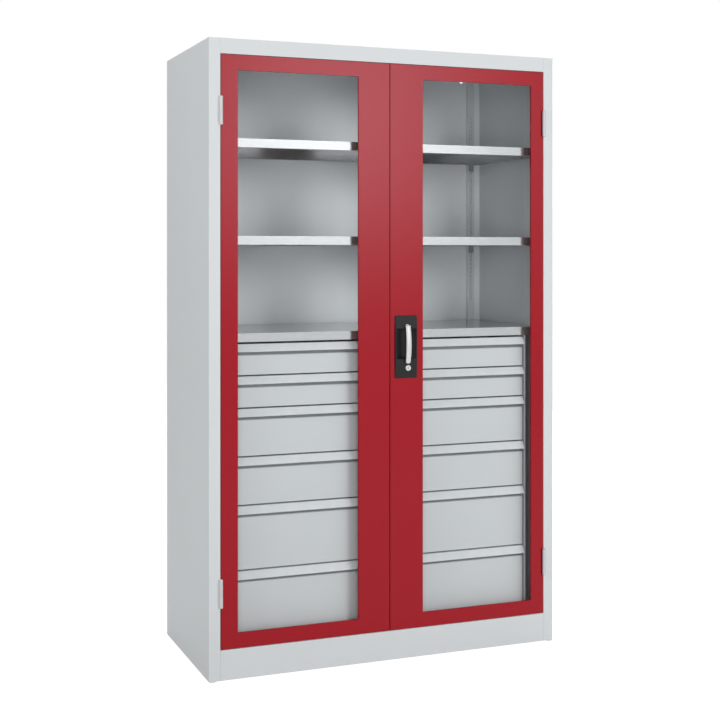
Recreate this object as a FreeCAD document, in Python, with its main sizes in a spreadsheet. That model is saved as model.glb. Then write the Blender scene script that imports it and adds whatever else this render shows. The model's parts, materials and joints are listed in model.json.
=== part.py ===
import FreeCAD, Part
import math
import os

import Sketcher

# Heavy-duty workshop cabinet: a sheet-steel carcass with two glazed doors,
# galvanised shelves above and two columns of drawers below.
# Millimetres. X to the right, Y to the back, Z up. The origin is on the floor
# under the middle of the carcass, and the front face looks along -Y.

SIZES = {
    # carcass
    "cabinet_width": 1200,
    "cabinet_depth": 500,
    "cabinet_height": 1950,
    "body_sheet": 1.5,
    "corner_radius": 4,
    "post_width": 36,
    "post_return": 24,
    "rear_flange": 18,
    "head_rail_height": 45.5,
    "rail_return": 23,
    "rail_lip": 12,
    "rail_top_return": 30,
    "rail_joint_gap": 0.4,
    "plinth_height": 92,
    "plinth_foot_return": 16,
    "floor_drop": 17,
    "floor_flange": 25,
    "top_flange": 20,
    "foot_height": 3,
    "foot_width": 24,
    "foot_tip_width": 18,
    "wall_hole_diameter": 15,
    "wall_hole_side_distance": 78,
    "wall_hole_drop": 16,
    # perforated shelf uprights
    "upright_width": 27,
    "upright_depth": 12,
    "upright_sheet": 1.5,
    "rear_upright_offset": 29,
    "front_upright_offset": 98,
    "upright_top_gap": 22,
    "slot_width": 8,
    "slot_height": 6,
    "slot_pitch": 15,
    "first_slot_rise": 75,
    "last_slot_drop": 120,
    # shelves and their clips
    "shelf_height": 27,
    "shelf_sheet": 1.2,
    "shelf_lip": 16,
    "shelf_front_setback": 33,
    "shelf_rear_gap": 2,
    "shelf_side_gap": 1.5,
    "lower_shelf_level": 1051,
    "shelf_pitch": 300,
    "clip_width": 20,
    "clip_height": 24,
    "clip_reach": 16,
    "clip_sheet": 2,
    # drawer housing
    "frame_sheet": 1.5,
    "frame_flange": 6,
    "frame_depth": 424,
    "frame_clearance": 5.5,
    "partition_thickness": 10,
    "housing_side_gap": 82.5,
    # drawers
    "drawer_setback": 46,
    "drawer_stack_gap": 7,
    "drawer_gap": 4,
    "small_drawer_pitch": 100,
    "medium_drawer_pitch": 150,
    "large_drawer_pitch": 200,
    "front_sheet": 1.2,
    "front_return": 24,
    "front_seat": 10,
    "grip_height": 24,
    "grip_reach": 15,
    "grip_top_reach": 2,
    "grip_hollow": 20,
    "grip_ceiling_drop": 2,
    "grip_slope_height": 20,
    "tray_sheet": 1,
    "tray_depth": 392,
    "tray_side_inset": 7.5,
    "tray_floor_rise": 8,
    "tray_rim_drop": 28,
    "runner_height": 12,
    "runner_width": 7,
    "runner_rise": 14,
    "runner_sheet": 1.2,
    "runner_clearance": 0.4,
    "runner_mouth_clearance": 1.5,
    # doors and windows
    "door_gap": 2,
    "door_split": 3,
    "door_depth": 20,
    "door_sheet": 1.5,
    "door_return": 14,
    "door_rail": 46,
    "left_hinge_stile": 54,
    "left_lock_stile": 107,
    "right_hinge_stile": 46,
    "right_lock_stile": 115,
    "pane_thickness": 4,
    "pane_overlap": 14,
    "pane_edge_clearance": 0.5,
    "retainer_sheet": 1.5,
    # hinges
    "knuckle_radius": 5.5,
    "knuckle_standoff": 0.3,
    "hinge_height": 84,
    "hinge_end_distance": 171,
    "knuckle_split": 0.6,
    "leaf_sheet": 1.4,
    "leaf_depth": 16,
    "hinge_pin_radius": 3,
    "hinge_pin_clearance": 0.05,
    "notch_width": 6.5,
    "notch_depth": 4,
    "notch_margin": 1,
    # handle dish, lever and lock
    "dish_width": 78.5,
    "dish_height": 200,
    "dish_edge_distance": 14.7,
    "dish_level": 998.5,
    "dish_rim": 3,
    "dish_peak": 6,
    "dish_bevel": 2.2,
    "dish_corner_radius": 4,
    "hollow_mouth": 70,
    "hollow_width": 60,
    "hollow_floor_width": 44,
    "hollow_height": 97,
    "hollow_rise": 10,
    "hollow_depth": 17,
    "dish_wall": 2,
    "dish_cutout_clearance": 1,
    "lever_level": 1065,
    "lever_side_distance": 57,
    "lever_width": 18,
    "lever_length": 116,
    "lever_thickness": 8,
    "lever_bow": 7.5,
    "lever_dish_clearance": 0.8,
    "lever_edge_bevel": 2,
    "tongue_width": 6,
    "tongue_height": 4,
    "tongue_nose_radius": 2.6,
    "tongue_clearance": 0.3,
    "trunnion_radius": 1.8,
    "trunnion_clearance": 0.05,
    "spindle_radius": 6,
    "spindle_clearance": 0.08,
    "spindle_length": 21,
    "lock_level": 931,
    "lock_side_distance": 59.5,
    "lock_head_radius": 9,
    "lock_head_height": 5,
    "lock_body_radius": 7,
    "lock_body_length": 20,
    "lock_cam_length": 22,
    "lock_cam_width": 9,
    "lock_cam_sheet": 2.5,
    "key_slot_width": 2,
    "key_slot_length": 8,
    "key_slot_depth": 6,
    # rod lock inside the right door
    "disc_radius": 20,
    "disc_sheet": 3,
    "crank_radius": 13,
    "crank_pin_radius": 3,
    "crank_pin_length": 5,
    "rod_gap": 0.5,
    "rod_width": 14,
    "rod_sheet": 4,
    "rod_eye_width": 24,
    "rod_eye_height": 17,
    "rod_slot_length": 16,
    "rod_slot_clearance": 0.7,
    "rod_end_gap": 5,
    "guide_width": 26,
    "guide_height": 12,
    "guide_wall": 2.2,
    "guide_clearance": 0.4,
    "guide_end_distance": 1,
    "guide_middle_distance": 360,
    # one overrun for every cut
    "overrun": 2,
}
SHELF_NAMES = ["lower", "middle", "upper"]
DRAWER_ROWS = ["small", "small", "medium", "medium", "large", "large"]
CRANK_REST_ANGLE = 45
QUARTER_TURN = 90

doc = FreeCAD.newDocument("heavy_duty_cabinet")


class Size:
    """A length that carries both its value and the sheet formula that gives it."""

    def __init__(self, value, formula):
        self.value = value
        self.formula = formula

    def __add__(self, other):
        return Size(self.value + other.value, "(%s + %s)" % (self.formula, other.formula))

    def __sub__(self, other):
        return Size(self.value - other.value, "(%s - %s)" % (self.formula, other.formula))

    def __mul__(self, factor):
        return Size(self.value * factor, "(%s * %r)" % (self.formula, factor))

    def __truediv__(self, factor):
        return Size(self.value / factor, "(%s / %r)" % (self.formula, factor))

    def __neg__(self):
        return Size(-self.value, "(-%s)" % self.formula)


ZERO = Size(0, "0")


def make_sheet():
    """Writes every driving dimension to its own aliased cell."""
    sheet = doc.addObject("Spreadsheet::Sheet", "Sizes")
    for row, (name, value) in enumerate(SIZES.items(), 1):
        sheet.set("A%d" % row, name)
        sheet.set("B%d" % row, str(value))
        sheet.setAlias("B%d" % row, name)
    doc.recompute()
    return {name: Size(value, "Sizes." + name) for name, value in SIZES.items()}


dim = make_sheet()


def place(thing, corner):
    """Binds the position of a document object to three sizes."""
    for axis, size in zip("xyz", corner):
        thing.setExpression("Placement.Base." + axis, size.formula)


def box(name, low, high):
    """A block between two opposite corners."""
    block = doc.addObject("Part::Box", name)
    for side, a, b in zip(("Length", "Width", "Height"), low, high):
        block.setExpression(side, (b - a).formula)
    place(block, low)
    return block


AXIS_TURNS = {
    "X": FreeCAD.Rotation(FreeCAD.Vector(0, 1, 0), QUARTER_TURN),
    "Y": FreeCAD.Rotation(FreeCAD.Vector(1, 0, 0), -QUARTER_TURN),
    "Z": FreeCAD.Rotation(),
}


def rod(name, start, radius, length, axis):
    """A round bar from a start point along +X, +Y or +Z."""
    bar = doc.addObject("Part::Cylinder", name)
    bar.Placement = FreeCAD.Placement(FreeCAD.Vector(), AXIS_TURNS[axis])
    bar.setExpression("Radius", radius.formula)
    bar.setExpression("Height", length.formula)
    place(bar, start)
    return bar


def fuse(name, pieces):
    whole = doc.addObject("Part::MultiFuse", name)
    whole.Shapes = pieces
    return whole


def cut(name, base, tools):
    """Takes one tool, or several joined into one, away from a base."""
    result = doc.addObject("Part::Cut", name)
    result.Base = base
    result.Tool = tools[0] if len(tools) == 1 else fuse(name + "_tools", tools)
    return result


def group(name, pieces):
    """Separate solids that share one node."""
    whole = doc.addObject("Part::Compound", name)
    whole.Links = pieces
    return whole


def origin_plane(body, role):
    for feature in body.Origin.OriginFeatures:
        if feature.Role == role:
            return feature


def arc_through(a, b, radius):
    """An arc from a to b; a positive radius bulges to the right of the way from a to b."""
    chord = b - a
    half = chord.Length / 2
    side = FreeCAD.Vector(chord.y, -chord.x, 0).normalize()
    rise = abs(radius) - math.sqrt(max(radius * radius - half * half, 0))
    middle = (a + b) / 2 + side * math.copysign(rise, radius)
    return Part.Arc(a, middle, b) if radius > 0 else Part.Arc(b, middle, a)


def draw(sketch, corners):
    """
    Draws a closed outline whose corners are bound to the sheet. A corner is (x, y), or
    (x, y, radius) where the stretch to the next corner is an arc of that radius.
    """
    first = sketch.GeometryCount
    points = [FreeCAD.Vector(c[0].value, c[1].value, 0) for c in corners]
    count = len(points)
    for i, corner in enumerate(corners):
        start, end = points[i], points[(i + 1) % count]
        if len(corner) == 3:
            sketch.addGeometry(arc_through(start, end, corner[2].value))
        else:
            sketch.addGeometry(Part.LineSegment(start, end))
    ends = [2 if len(c) == 3 and c[2].value < 0 else 1 for c in corners]
    for i in range(count):
        after = (i + 1) % count
        sketch.addConstraint(
            Sketcher.Constraint("Coincident", first + i, 3 - ends[i], first + after, ends[after]))
    for i, corner in enumerate(corners):
        for kind, size in zip(("DistanceX", "DistanceY"), corner):
            index = sketch.addConstraint(
                Sketcher.Constraint(kind, -1, 1, first + i, ends[i], size.value))
            sketch.setExpression("Constraints[%d]" % index, size.formula)
        if len(corner) == 3:
            radius = corner[2] if corner[2].value > 0 else -corner[2]
            index = sketch.addConstraint(Sketcher.Constraint("Radius", first + i, radius.value))
            sketch.setExpression("Constraints[%d]" % index, radius.formula)


def sketch_on(body, plane, name, outlines, offset=ZERO):
    """A sketch of closed outlines on one of the body's own origin planes, at an offset."""
    sketch = body.newObject("Sketcher::SketchObject", name)
    sketch.AttachmentSupport = (origin_plane(body, plane), [""])
    sketch.MapMode = "FlatFace"
    sketch.setExpression("AttachmentOffset.Base.z", offset.formula)
    for outline in outlines:
        draw(sketch, outline)
    return sketch


def pad(body, plane, name, outlines, length, offset=ZERO):
    """Adds a pad along +X, +Y or +Z, starting at an offset on that axis."""
    flip = plane == "XZ_Plane"
    sketch = sketch_on(body, plane, name + "_outline", outlines, -offset if flip else offset)
    feature = body.newObject("PartDesign::Pad", name)
    feature.Profile = sketch
    feature.Reversed = flip
    feature.setExpression("Length", length.formula)
    return feature


def pocket(body, plane, name, outlines, length, offset=ZERO):
    """Cuts along +X, +Y or +Z, starting at an offset on that axis."""
    flip = plane == "XZ_Plane"
    sketch = sketch_on(body, plane, name + "_outline", outlines, -offset if flip else offset)
    feature = body.newObject("PartDesign::Pocket", name)
    feature.Profile = sketch
    feature.Reversed = not flip
    feature.setExpression("Length", length.formula)
    return feature


def prism(name, plane, outlines, start, length):
    """A bar of one section, padded along the plane's normal from a start to its length."""
    body = doc.addObject("PartDesign::Body", name)
    pad(body, plane, name + "_pad", outlines, length, start)
    return body


def rectangle(x_low, y_low, x_high, y_high):
    return [(x_low, y_low), (x_high, y_low), (x_high, y_high), (x_low, y_high)]


def picked_edges(body, wanted):
    """The last feature of a body with the names of its edges that a test picks out."""
    doc.recompute()
    tip = body.Tip
    return tip, ["Edge%d" % i for i, edge in enumerate(tip.Shape.Edges, 1) if wanted(edge)]


def round_edges(body, radius, wanted):
    feature_base = picked_edges(body, wanted)
    feature = body.newObject("PartDesign::Fillet", body.Name + "_round")
    feature.Base = feature_base
    feature.setExpression("Radius", radius.formula)
    return feature


def bevel_edges(body, size, wanted):
    feature_base = picked_edges(body, wanted)
    feature = body.newObject("PartDesign::Chamfer", body.Name + "_bevel")
    feature.Base = feature_base
    feature.setExpression("Size", size.formula)
    return feature


def near(number, size):
    """Whether a coordinate lies on a plane, within a tenth of the body sheet."""
    return abs(number - size.value) < dim["body_sheet"].value / 10


# shared places
half_width = dim["cabinet_width"] / 2
front = -(dim["cabinet_depth"] / 2)
back = dim["cabinet_depth"] / 2
sheet = dim["body_sheet"]
wall_face = half_width - sheet
post_edge = half_width - dim["post_width"]
rail_end = post_edge - dim["rail_joint_gap"]
body_top = dim["cabinet_height"] - sheet
plinth_top = dim["foot_height"] + dim["plinth_height"]
floor_top = plinth_top - dim["floor_drop"]
back_face = back - sheet * 2
door_top = body_top - dim["head_rail_height"] - dim["door_gap"]
door_bottom = plinth_top + dim["door_gap"]
over = dim["overrun"]

SIDES = {"left": -1, "right": 1}
nodes = []


def keep(piece):
    """Lists a finished sub-part under its own name."""
    piece.Label = piece.Name
    nodes.append(piece)
    return piece


def side_panel(side):
    """Outer wall, front post with its return, and rear flange, folded from one sheet."""
    sign = SIDES[side]
    outline = [
        (half_width, front),
        (half_width, back),
        (half_width - dim["rear_flange"], back),
        (half_width - dim["rear_flange"], back - sheet),
        (wall_face, back - sheet),
        (wall_face, front + sheet),
        (post_edge + sheet, front + sheet),
        (post_edge + sheet, front + dim["post_return"]),
        (post_edge, front + dim["post_return"]),
        (post_edge, front),
    ]
    outline = [(x * sign, y) for x, y in outline]
    body = prism(side + "_side_panel", "XY_Plane", [outline],
                 dim["foot_height"], body_top - dim["foot_height"])

    def outer_corner(edge):
        return all(near(v.X, half_width * sign) and near(v.Y, front) for v in edge.Vertexes)

    round_edges(body, dim["corner_radius"], outer_corner)
    return keep(body)


def carcass():
    for side in SIDES:
        side_panel(side)
    # lid over the side panels, with a flange inside each of them
    lid = box("top_plate", (-half_width, front, body_top), (half_width, back, dim["cabinet_height"]))
    flanges = []
    for side, sign in SIDES.items():
        inner = (wall_face - sheet) * sign
        outer = wall_face * sign
        low, high = (outer, inner) if sign < 0 else (inner, outer)
        flanges.append(box(side + "_top_flange",
                           (low, front + dim["post_return"] + sheet, body_top - dim["top_flange"]),
                           (high, back_face - sheet, body_top)))
    keep(fuse("top_panel", [lid] + flanges))
    # head rail: fascia, top return and a turned-up lip that stops the lock rod
    low = door_top + dim["door_gap"]
    lip = front + dim["rail_return"]
    keep(prism("head_rail", "YZ_Plane", [[
        (front, low), (lip, low), (lip, low + dim["rail_lip"]),
        (lip - sheet, low + dim["rail_lip"]), (lip - sheet, low + sheet),
        (front + sheet, low + sheet), (front + sheet, body_top - sheet),
        (front + dim["rail_top_return"], body_top - sheet),
        (front + dim["rail_top_return"], body_top), (front, body_top)]],
        -rail_end, rail_end * 2))
    # plinth: kick board with a turned-down lip on top and a foot return
    foot = dim["foot_height"]
    keep(prism("plinth", "YZ_Plane", [[
        (front, foot), (front + dim["plinth_foot_return"], foot),
        (front + dim["plinth_foot_return"], foot + sheet), (front + sheet, foot + sheet),
        (front + sheet, plinth_top - sheet), (lip - sheet, plinth_top - sheet),
        (lip - sheet, plinth_top - dim["rail_lip"]), (lip, plinth_top - dim["rail_lip"]),
        (lip, plinth_top), (front, plinth_top)]],
        -rail_end, rail_end * 2))
    # floor pan between the side panels, with a tongue between the posts
    under = floor_top - sheet
    behind_post = front + dim["post_return"]
    pan = [
        box("floor_plate", (-wall_face, behind_post, under), (wall_face, back_face, floor_top)),
        box("floor_tongue", (-post_edge, front + sheet, under), (post_edge, behind_post, floor_top)),
        box("floor_left_flange", (-wall_face, behind_post, under - dim["floor_flange"]),
            (sheet - wall_face, back_face, under)),
        box("floor_right_flange", (wall_face - sheet, behind_post, under - dim["floor_flange"]),
            (wall_face, back_face, under)),
        box("floor_rear_flange", (-wall_face, back_face - sheet, under - dim["floor_flange"]),
            (wall_face, back_face, under)),
    ]
    keep(fuse("floor_panel", pan))
    # back panel with two holes for fixing the cabinet to a wall
    plate = box("back_plate", (-wall_face, back_face, dim["foot_height"]), (wall_face, back - sheet, body_top))
    holes = []
    for side, sign in SIDES.items():
        holes.append(rod(side + "_wall_hole",
                         ((half_width - dim["wall_hole_side_distance"]) * sign, back_face - over,
                          dim["cabinet_height"] - dim["wall_hole_drop"]),
                         dim["wall_hole_diameter"] / 2, sheet + over * 2, "Y"))
    keep(cut("back_panel", plate, holes))
    # low tapered foot pads under the four corners
    feet = []
    inset, tip = dim["foot_width"] / 2, dim["foot_tip_width"] / 2
    for side, sign in SIDES.items():
        middle = (half_width - inset) * sign
        taper = [(middle - tip, ZERO), (middle + tip, ZERO),
                 (middle + inset, dim["foot_height"]), (middle - inset, dim["foot_height"])]
        for end, y in (("front", front), ("rear", back - dim["foot_width"])):
            feet.append(prism(side + "_" + end + "_foot", "XZ_Plane", [taper], y, dim["foot_width"]))
    keep(group("corner_feet", feet))


def upright(name, turn, foot):
    """A channel with a row of slots for shelf clips; its open side lies on a wall."""
    body = doc.addObject("PartDesign::Body", name)
    half, deep, skin = dim["upright_width"] / 2, dim["upright_depth"], dim["upright_sheet"]
    length = body_top - dim["upright_top_gap"] - floor_top
    pad(body, "XY_Plane", name + "_pad", [[
        (-half, ZERO), (-half, -deep), (half, -deep), (half, ZERO), (half - skin, ZERO),
        (half - skin, skin - deep), (skin - half, skin - deep), (skin - half, ZERO)]], length)
    slot_bottom = dim["lower_shelf_level"] + dim["first_slot_rise"] - floor_top
    slot_run = length - dim["last_slot_drop"] - slot_bottom
    slot_count = 1 + int(slot_run.value / dim["slot_pitch"].value)
    slot_half = dim["slot_width"] / 2
    slot = pocket(body, "XZ_Plane", name + "_slot",
                  [rectangle(-slot_half, slot_bottom, slot_half, slot_bottom + dim["slot_height"])],
                  skin + over * 2, -deep - over)
    row = body.newObject("PartDesign::LinearPattern", name + "_slots")
    row.Originals = [slot]
    row.Direction = (origin_plane(body, "Z_Axis"), [""])
    row.Occurrences = slot_count
    row.setExpression("Length", (dim["slot_pitch"] * (slot_count - 1)).formula)
    body.Tip = row
    body.Placement = FreeCAD.Placement(FreeCAD.Vector(), FreeCAD.Rotation(FreeCAD.Vector(0, 0, 1), turn))
    place(body, foot)
    return body


rear_upright_x = wall_face - dim["rear_upright_offset"] - dim["upright_width"] / 2
front_upright_y = front + dim["front_upright_offset"] + dim["upright_width"] / 2
shelf_end = wall_face - dim["upright_depth"] - dim["shelf_side_gap"]
shelf_front = front + dim["shelf_front_setback"]
shelf_rear = back_face - dim["upright_depth"] - dim["shelf_rear_gap"]


def shelf_top(level_name):
    return dim["lower_shelf_level"] + dim["shelf_pitch"] * SHELF_NAMES.index(level_name)


def uprights():
    pieces = []
    for side, sign in SIDES.items():
        pieces.append(upright(side + "_rear_upright", 0, (rear_upright_x * sign, back_face, floor_top)))
        pieces.append(upright(side + "_front_upright", -QUARTER_TURN * sign,
                              (wall_face * sign, front_upright_y, floor_top)))
    keep(group("shelf_uprights", pieces))


def shelf(level_name):
    """Galvanised shelf: flanged on all four sides, with returned lips front and rear."""
    top = shelf_top(level_name)
    low, skin, lip = top - dim["shelf_height"], dim["shelf_sheet"], dim["shelf_lip"]
    pan = prism(level_name + "_shelf_pan", "YZ_Plane", [[
        (shelf_front, low), (shelf_front + lip, low), (shelf_front + lip, low + skin),
        (shelf_front + skin, low + skin), (shelf_front + skin, top - skin),
        (shelf_rear - skin, top - skin), (shelf_rear - skin, low + skin),
        (shelf_rear - lip, low + skin), (shelf_rear - lip, low), (shelf_rear, low),
        (shelf_rear, top), (shelf_front, top)]], -shelf_end, shelf_end * 2)
    ends = [
        box(level_name + "_shelf_left_end", (-shelf_end, shelf_front + skin, low),
            (skin - shelf_end, shelf_rear - skin, top - skin)),
        box(level_name + "_shelf_right_end", (shelf_end - skin, shelf_front + skin, low),
            (shelf_end, shelf_rear - skin, top - skin)),
    ]
    return keep(fuse(level_name + "_shelf", [pan] + ends))


def shelf_clips():
    """Angle clips hung in the uprights under the two upper shelves."""
    clips = []
    half, skin, tall, reach = dim["clip_width"] / 2, dim["clip_sheet"], dim["clip_height"], dim["clip_reach"]
    rear_face = back_face - dim["upright_depth"]
    side_face = wall_face - dim["upright_depth"]
    for level_name in SHELF_NAMES[1:]:
        seat = shelf_top(level_name) - dim["shelf_height"]
        for side, sign in SIDES.items():
            angle = [(rear_face, seat), (rear_face, seat - tall), (rear_face - skin, seat - tall),
                     (rear_face - skin, seat - skin), (rear_face - reach, seat - skin),
                     (rear_face - reach, seat)]
            clips.append(prism("%s_%s_rear_clip" % (level_name, side), "YZ_Plane", [angle],
                               rear_upright_x * sign - half, dim["clip_width"]))
            angle = [(side_face, seat), (side_face, seat - tall), (side_face - skin, seat - tall),
                     (side_face - skin, seat - skin), (side_face - reach, seat - skin),
                     (side_face - reach, seat)]
            clips.append(prism("%s_%s_front_clip" % (level_name, side), "XZ_Plane",
                               [[(x * sign, z) for x, z in angle]],
                               front_upright_y - half, dim["clip_width"]))
    keep(group("shelf_clips", clips))


partition_face = dim["partition_thickness"] / 2
drawer_inner_end = partition_face + dim["frame_clearance"]
frame_face = wall_face - dim["housing_side_gap"]
drawer_outer_end = frame_face - dim["frame_clearance"]
drawer_width = drawer_outer_end - drawer_inner_end
frame_front = front + dim["drawer_setback"]
frame_rear = frame_front + dim["frame_depth"]
frame_top = dim["lower_shelf_level"] - dim["shelf_height"]
tray_front = frame_front + dim["front_return"]


def drawer_housing():
    skin = dim["frame_sheet"]
    edge = frame_face + dim["frame_flange"]
    for side, sign in SIDES.items():
        outline = [(frame_face, frame_front), (edge, frame_front), (edge, frame_front + skin),
                   (frame_face + skin, frame_front + skin), (frame_face + skin, frame_rear - skin),
                   (edge, frame_rear - skin), (edge, frame_rear), (frame_face, frame_rear)]
        keep(prism(side + "_drawer_frame", "XY_Plane", [[(x * sign, y) for x, y in outline]],
                   floor_top, frame_top - floor_top))
    keep(prism("centre_partition", "XY_Plane", [
        rectangle(-partition_face, frame_front, partition_face, frame_rear),
        rectangle(skin - partition_face, frame_front + skin, partition_face - skin, frame_rear - skin)],
        floor_top, frame_top - floor_top))


def drawer_rows():
    """The top of each drawer's pitch and the pitch itself, from the top row down."""
    top = frame_top - dim["drawer_stack_gap"]
    rows = []
    for kind in DRAWER_ROWS:
        pitch = dim[kind + "_drawer_pitch"]
        rows.append((top, pitch))
        top = top - pitch
    return rows


def drawer_front(name, low_x, top, pitch):
    """
    Folded front: a leaning grip strip over a finger hollow, then a flat face. Its returns end in
    flanges that lie on the tray's front wall.
    """
    skin = dim["front_sheet"]
    face, rear = frame_front, tray_front
    nose = face - dim["grip_reach"]
    crown = face - dim["grip_top_reach"]
    hollow = face + dim["grip_hollow"]
    nose_z = top - dim["grip_height"]
    ceiling_z = nose_z - dim["grip_ceiling_drop"]
    slope_z = ceiling_z - dim["grip_slope_height"]
    low = top - pitch + dim["drawer_gap"]
    foot_z = low + dim["tray_floor_rise"] + dim["front_seat"]
    hang_z = top - dim["tray_rim_drop"] - dim["front_seat"]
    return keep(prism(name, "YZ_Plane", [[
        (crown, top), (nose, nose_z), (hollow, ceiling_z), (face, slope_z), (face, low),
        (rear, low), (rear, foot_z), (rear - skin, foot_z), (rear - skin, low + skin),
        (face + skin, low + skin), (face + skin, slope_z), (hollow + skin, ceiling_z + skin),
        (nose + skin * 2, nose_z + skin), (crown + skin, top - skin), (rear - skin, top - skin),
        (rear - skin, hang_z), (rear, hang_z), (rear, top)]],
        low_x, drawer_width))


def runner_level(top, pitch):
    return top - pitch + dim["drawer_gap"] + dim["tray_floor_rise"] + dim["runner_rise"]


def drawer_tray(name, low_x, top, pitch):
    """Open tray with a runner bar welded to each side."""
    skin = dim["tray_sheet"]
    low = top - pitch + dim["drawer_gap"] + dim["tray_floor_rise"]
    rim = top - dim["tray_rim_drop"]
    left, right = low_x + dim["tray_side_inset"], low_x + drawer_width - dim["tray_side_inset"]
    rear = tray_front + dim["tray_depth"]
    shell = cut(name + "_shell",
                box(name + "_block", (left, tray_front, low), (right, rear, rim)),
                [box(name + "_room", (left + skin, tray_front + skin, low + skin),
                     (right - skin, rear - skin, rim + over))])
    bar_low = runner_level(top, pitch)
    bar_high = bar_low + dim["runner_height"]
    bars = [
        box(name + "_left_bar", (left - dim["runner_width"], tray_front, bar_low), (left, rear, bar_high)),
        box(name + "_right_bar", (right, tray_front, bar_low), (right + dim["runner_width"], rear, bar_high)),
    ]
    return keep(fuse(name, [shell] + bars))


def runner_channel(name, wall_x, inward, top, pitch):
    """Fixed channel on a housing wall that the drawer's bar slides in."""
    skin, slack = dim["runner_sheet"], dim["runner_clearance"]
    reach = dim["frame_clearance"] + dim["tray_side_inset"] - dim["runner_mouth_clearance"]
    bar_low = runner_level(top, pitch)
    low = bar_low - slack
    high = bar_low + dim["runner_height"] + slack
    mouth = wall_x + reach * inward
    web = wall_x + skin * inward
    outline = [(wall_x, low - skin), (mouth, low - skin), (mouth, low), (web, low),
               (web, high), (mouth, high), (mouth, high + skin), (wall_x, high + skin)]
    return prism(name, "XZ_Plane", [outline], tray_front, dim["tray_depth"])


def drawers():
    for side, sign in SIDES.items():
        low_x = drawer_inner_end if sign > 0 else -drawer_outer_end
        channels = []
        for row, (top, pitch) in enumerate(drawer_rows(), 1):
            drawer_front("%s_drawer_%d_front" % (side, row), low_x, top, pitch)
            drawer_tray("%s_drawer_%d_tray" % (side, row), low_x, top, pitch)
            channels.append(runner_channel("%s_inner_channel_%d" % (side, row),
                                           partition_face * sign, sign, top, pitch))
            channels.append(runner_channel("%s_outer_channel_%d" % (side, row),
                                           frame_face * sign, -sign, top, pitch))
        keep(group(side + "_runners", channels))


door_hinge_edge = post_edge - dim["door_gap"]
door_lock_edge = dim["door_split"] / 2
axis_x = post_edge - dim["door_gap"] / 2
axis_y = front - dim["knuckle_radius"] - dim["knuckle_standoff"]
hinge_centres = {
    "lower": door_bottom + dim["hinge_end_distance"],
    "upper": door_top - dim["hinge_end_distance"],
}
window_low = door_bottom + dim["door_rail"]
window_high = door_top - dim["door_rail"]
pane_front = front + dim["door_sheet"]
pane_rear = pane_front + dim["pane_thickness"]
dish_left = door_lock_edge + dim["dish_edge_distance"]
dish_middle = dish_left + dim["dish_width"] / 2
dish_low = dim["dish_level"] - dim["dish_height"] / 2
hollow_low = dim["dish_level"] + dim["hollow_rise"] - dim["hollow_height"] / 2
lever_x = door_lock_edge + dim["lever_side_distance"]
lock_x = door_lock_edge + dim["lock_side_distance"]


def window_edges(side):
    """The inner and outer X of a door's window, on the side of positive X."""
    return door_lock_edge + dim[side + "_lock_stile"], door_hinge_edge - dim[side + "_hinge_stile"]


def spread(low, high, margin):
    return low - margin, high + margin


def mirrored(outline, sign):
    return [(x * sign, y) for x, y in outline]


def door_panel(side):
    """Folded door: front sheet with its window, edge flanges and inner returns."""
    sign = SIDES[side]
    skin, deep = dim["door_sheet"], dim["door_depth"]
    inner, outer = window_edges(side)
    rim = (door_lock_edge, door_bottom, door_hinge_edge, door_top)

    def inset(margin):
        return rectangle(rim[0] + margin, rim[1] + margin, rim[2] - margin, rim[3] - margin)

    body = doc.addObject("PartDesign::Body", side + "_door_blank")
    pad(body, "XZ_Plane", side + "_door_sheet",
        [mirrored(inset(ZERO), sign), mirrored(rectangle(inner, window_low, outer, window_high), sign)],
        skin, front)
    pad(body, "XZ_Plane", side + "_door_edge",
        [mirrored(inset(ZERO), sign), mirrored(inset(skin), sign)], deep - skin * 2, front + skin)
    pad(body, "XZ_Plane", side + "_door_return",
        [mirrored(inset(ZERO), sign), mirrored(inset(dim["door_return"]), sign)],
        skin, front + deep - skin)
    tools = []
    half = dim["hinge_height"] / 2 + dim["notch_margin"]
    for end, centre in hinge_centres.items():
        near = door_hinge_edge - dim["notch_width"]
        far = door_hinge_edge + over
        low_x, high_x = (near, far) if sign > 0 else (-far, -near)
        tools.append(box("%s_%s_notch" % (side, end), (low_x, front - over, centre - half),
                         (high_x, front + dim["notch_depth"], centre + half)))
    if side == "right":
        slack = dim["dish_wall"] + dim["dish_cutout_clearance"]
        half_hollow = dim["hollow_width"] / 2 + slack
        tools.append(box("dish_cutout", (dish_middle - half_hollow, front - over, hollow_low - slack),
                         (dish_middle + half_hollow, front + skin + over,
                          hollow_low + dim["hollow_height"] + slack)))
        bore = dim["spindle_radius"] + dim["dish_cutout_clearance"]
        tools.append(rod("spindle_cutout", (lever_x, front - over, dim["lever_level"]),
                         bore, skin + over * 2, "Y"))
        bore = dim["lock_body_radius"] + dim["dish_cutout_clearance"]
        tools.append(rod("lock_cutout", (lock_x, front - over, dim["lock_level"]),
                         bore, skin + over * 2, "Y"))
    return keep(cut(side + "_door_panel", body, tools))


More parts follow.
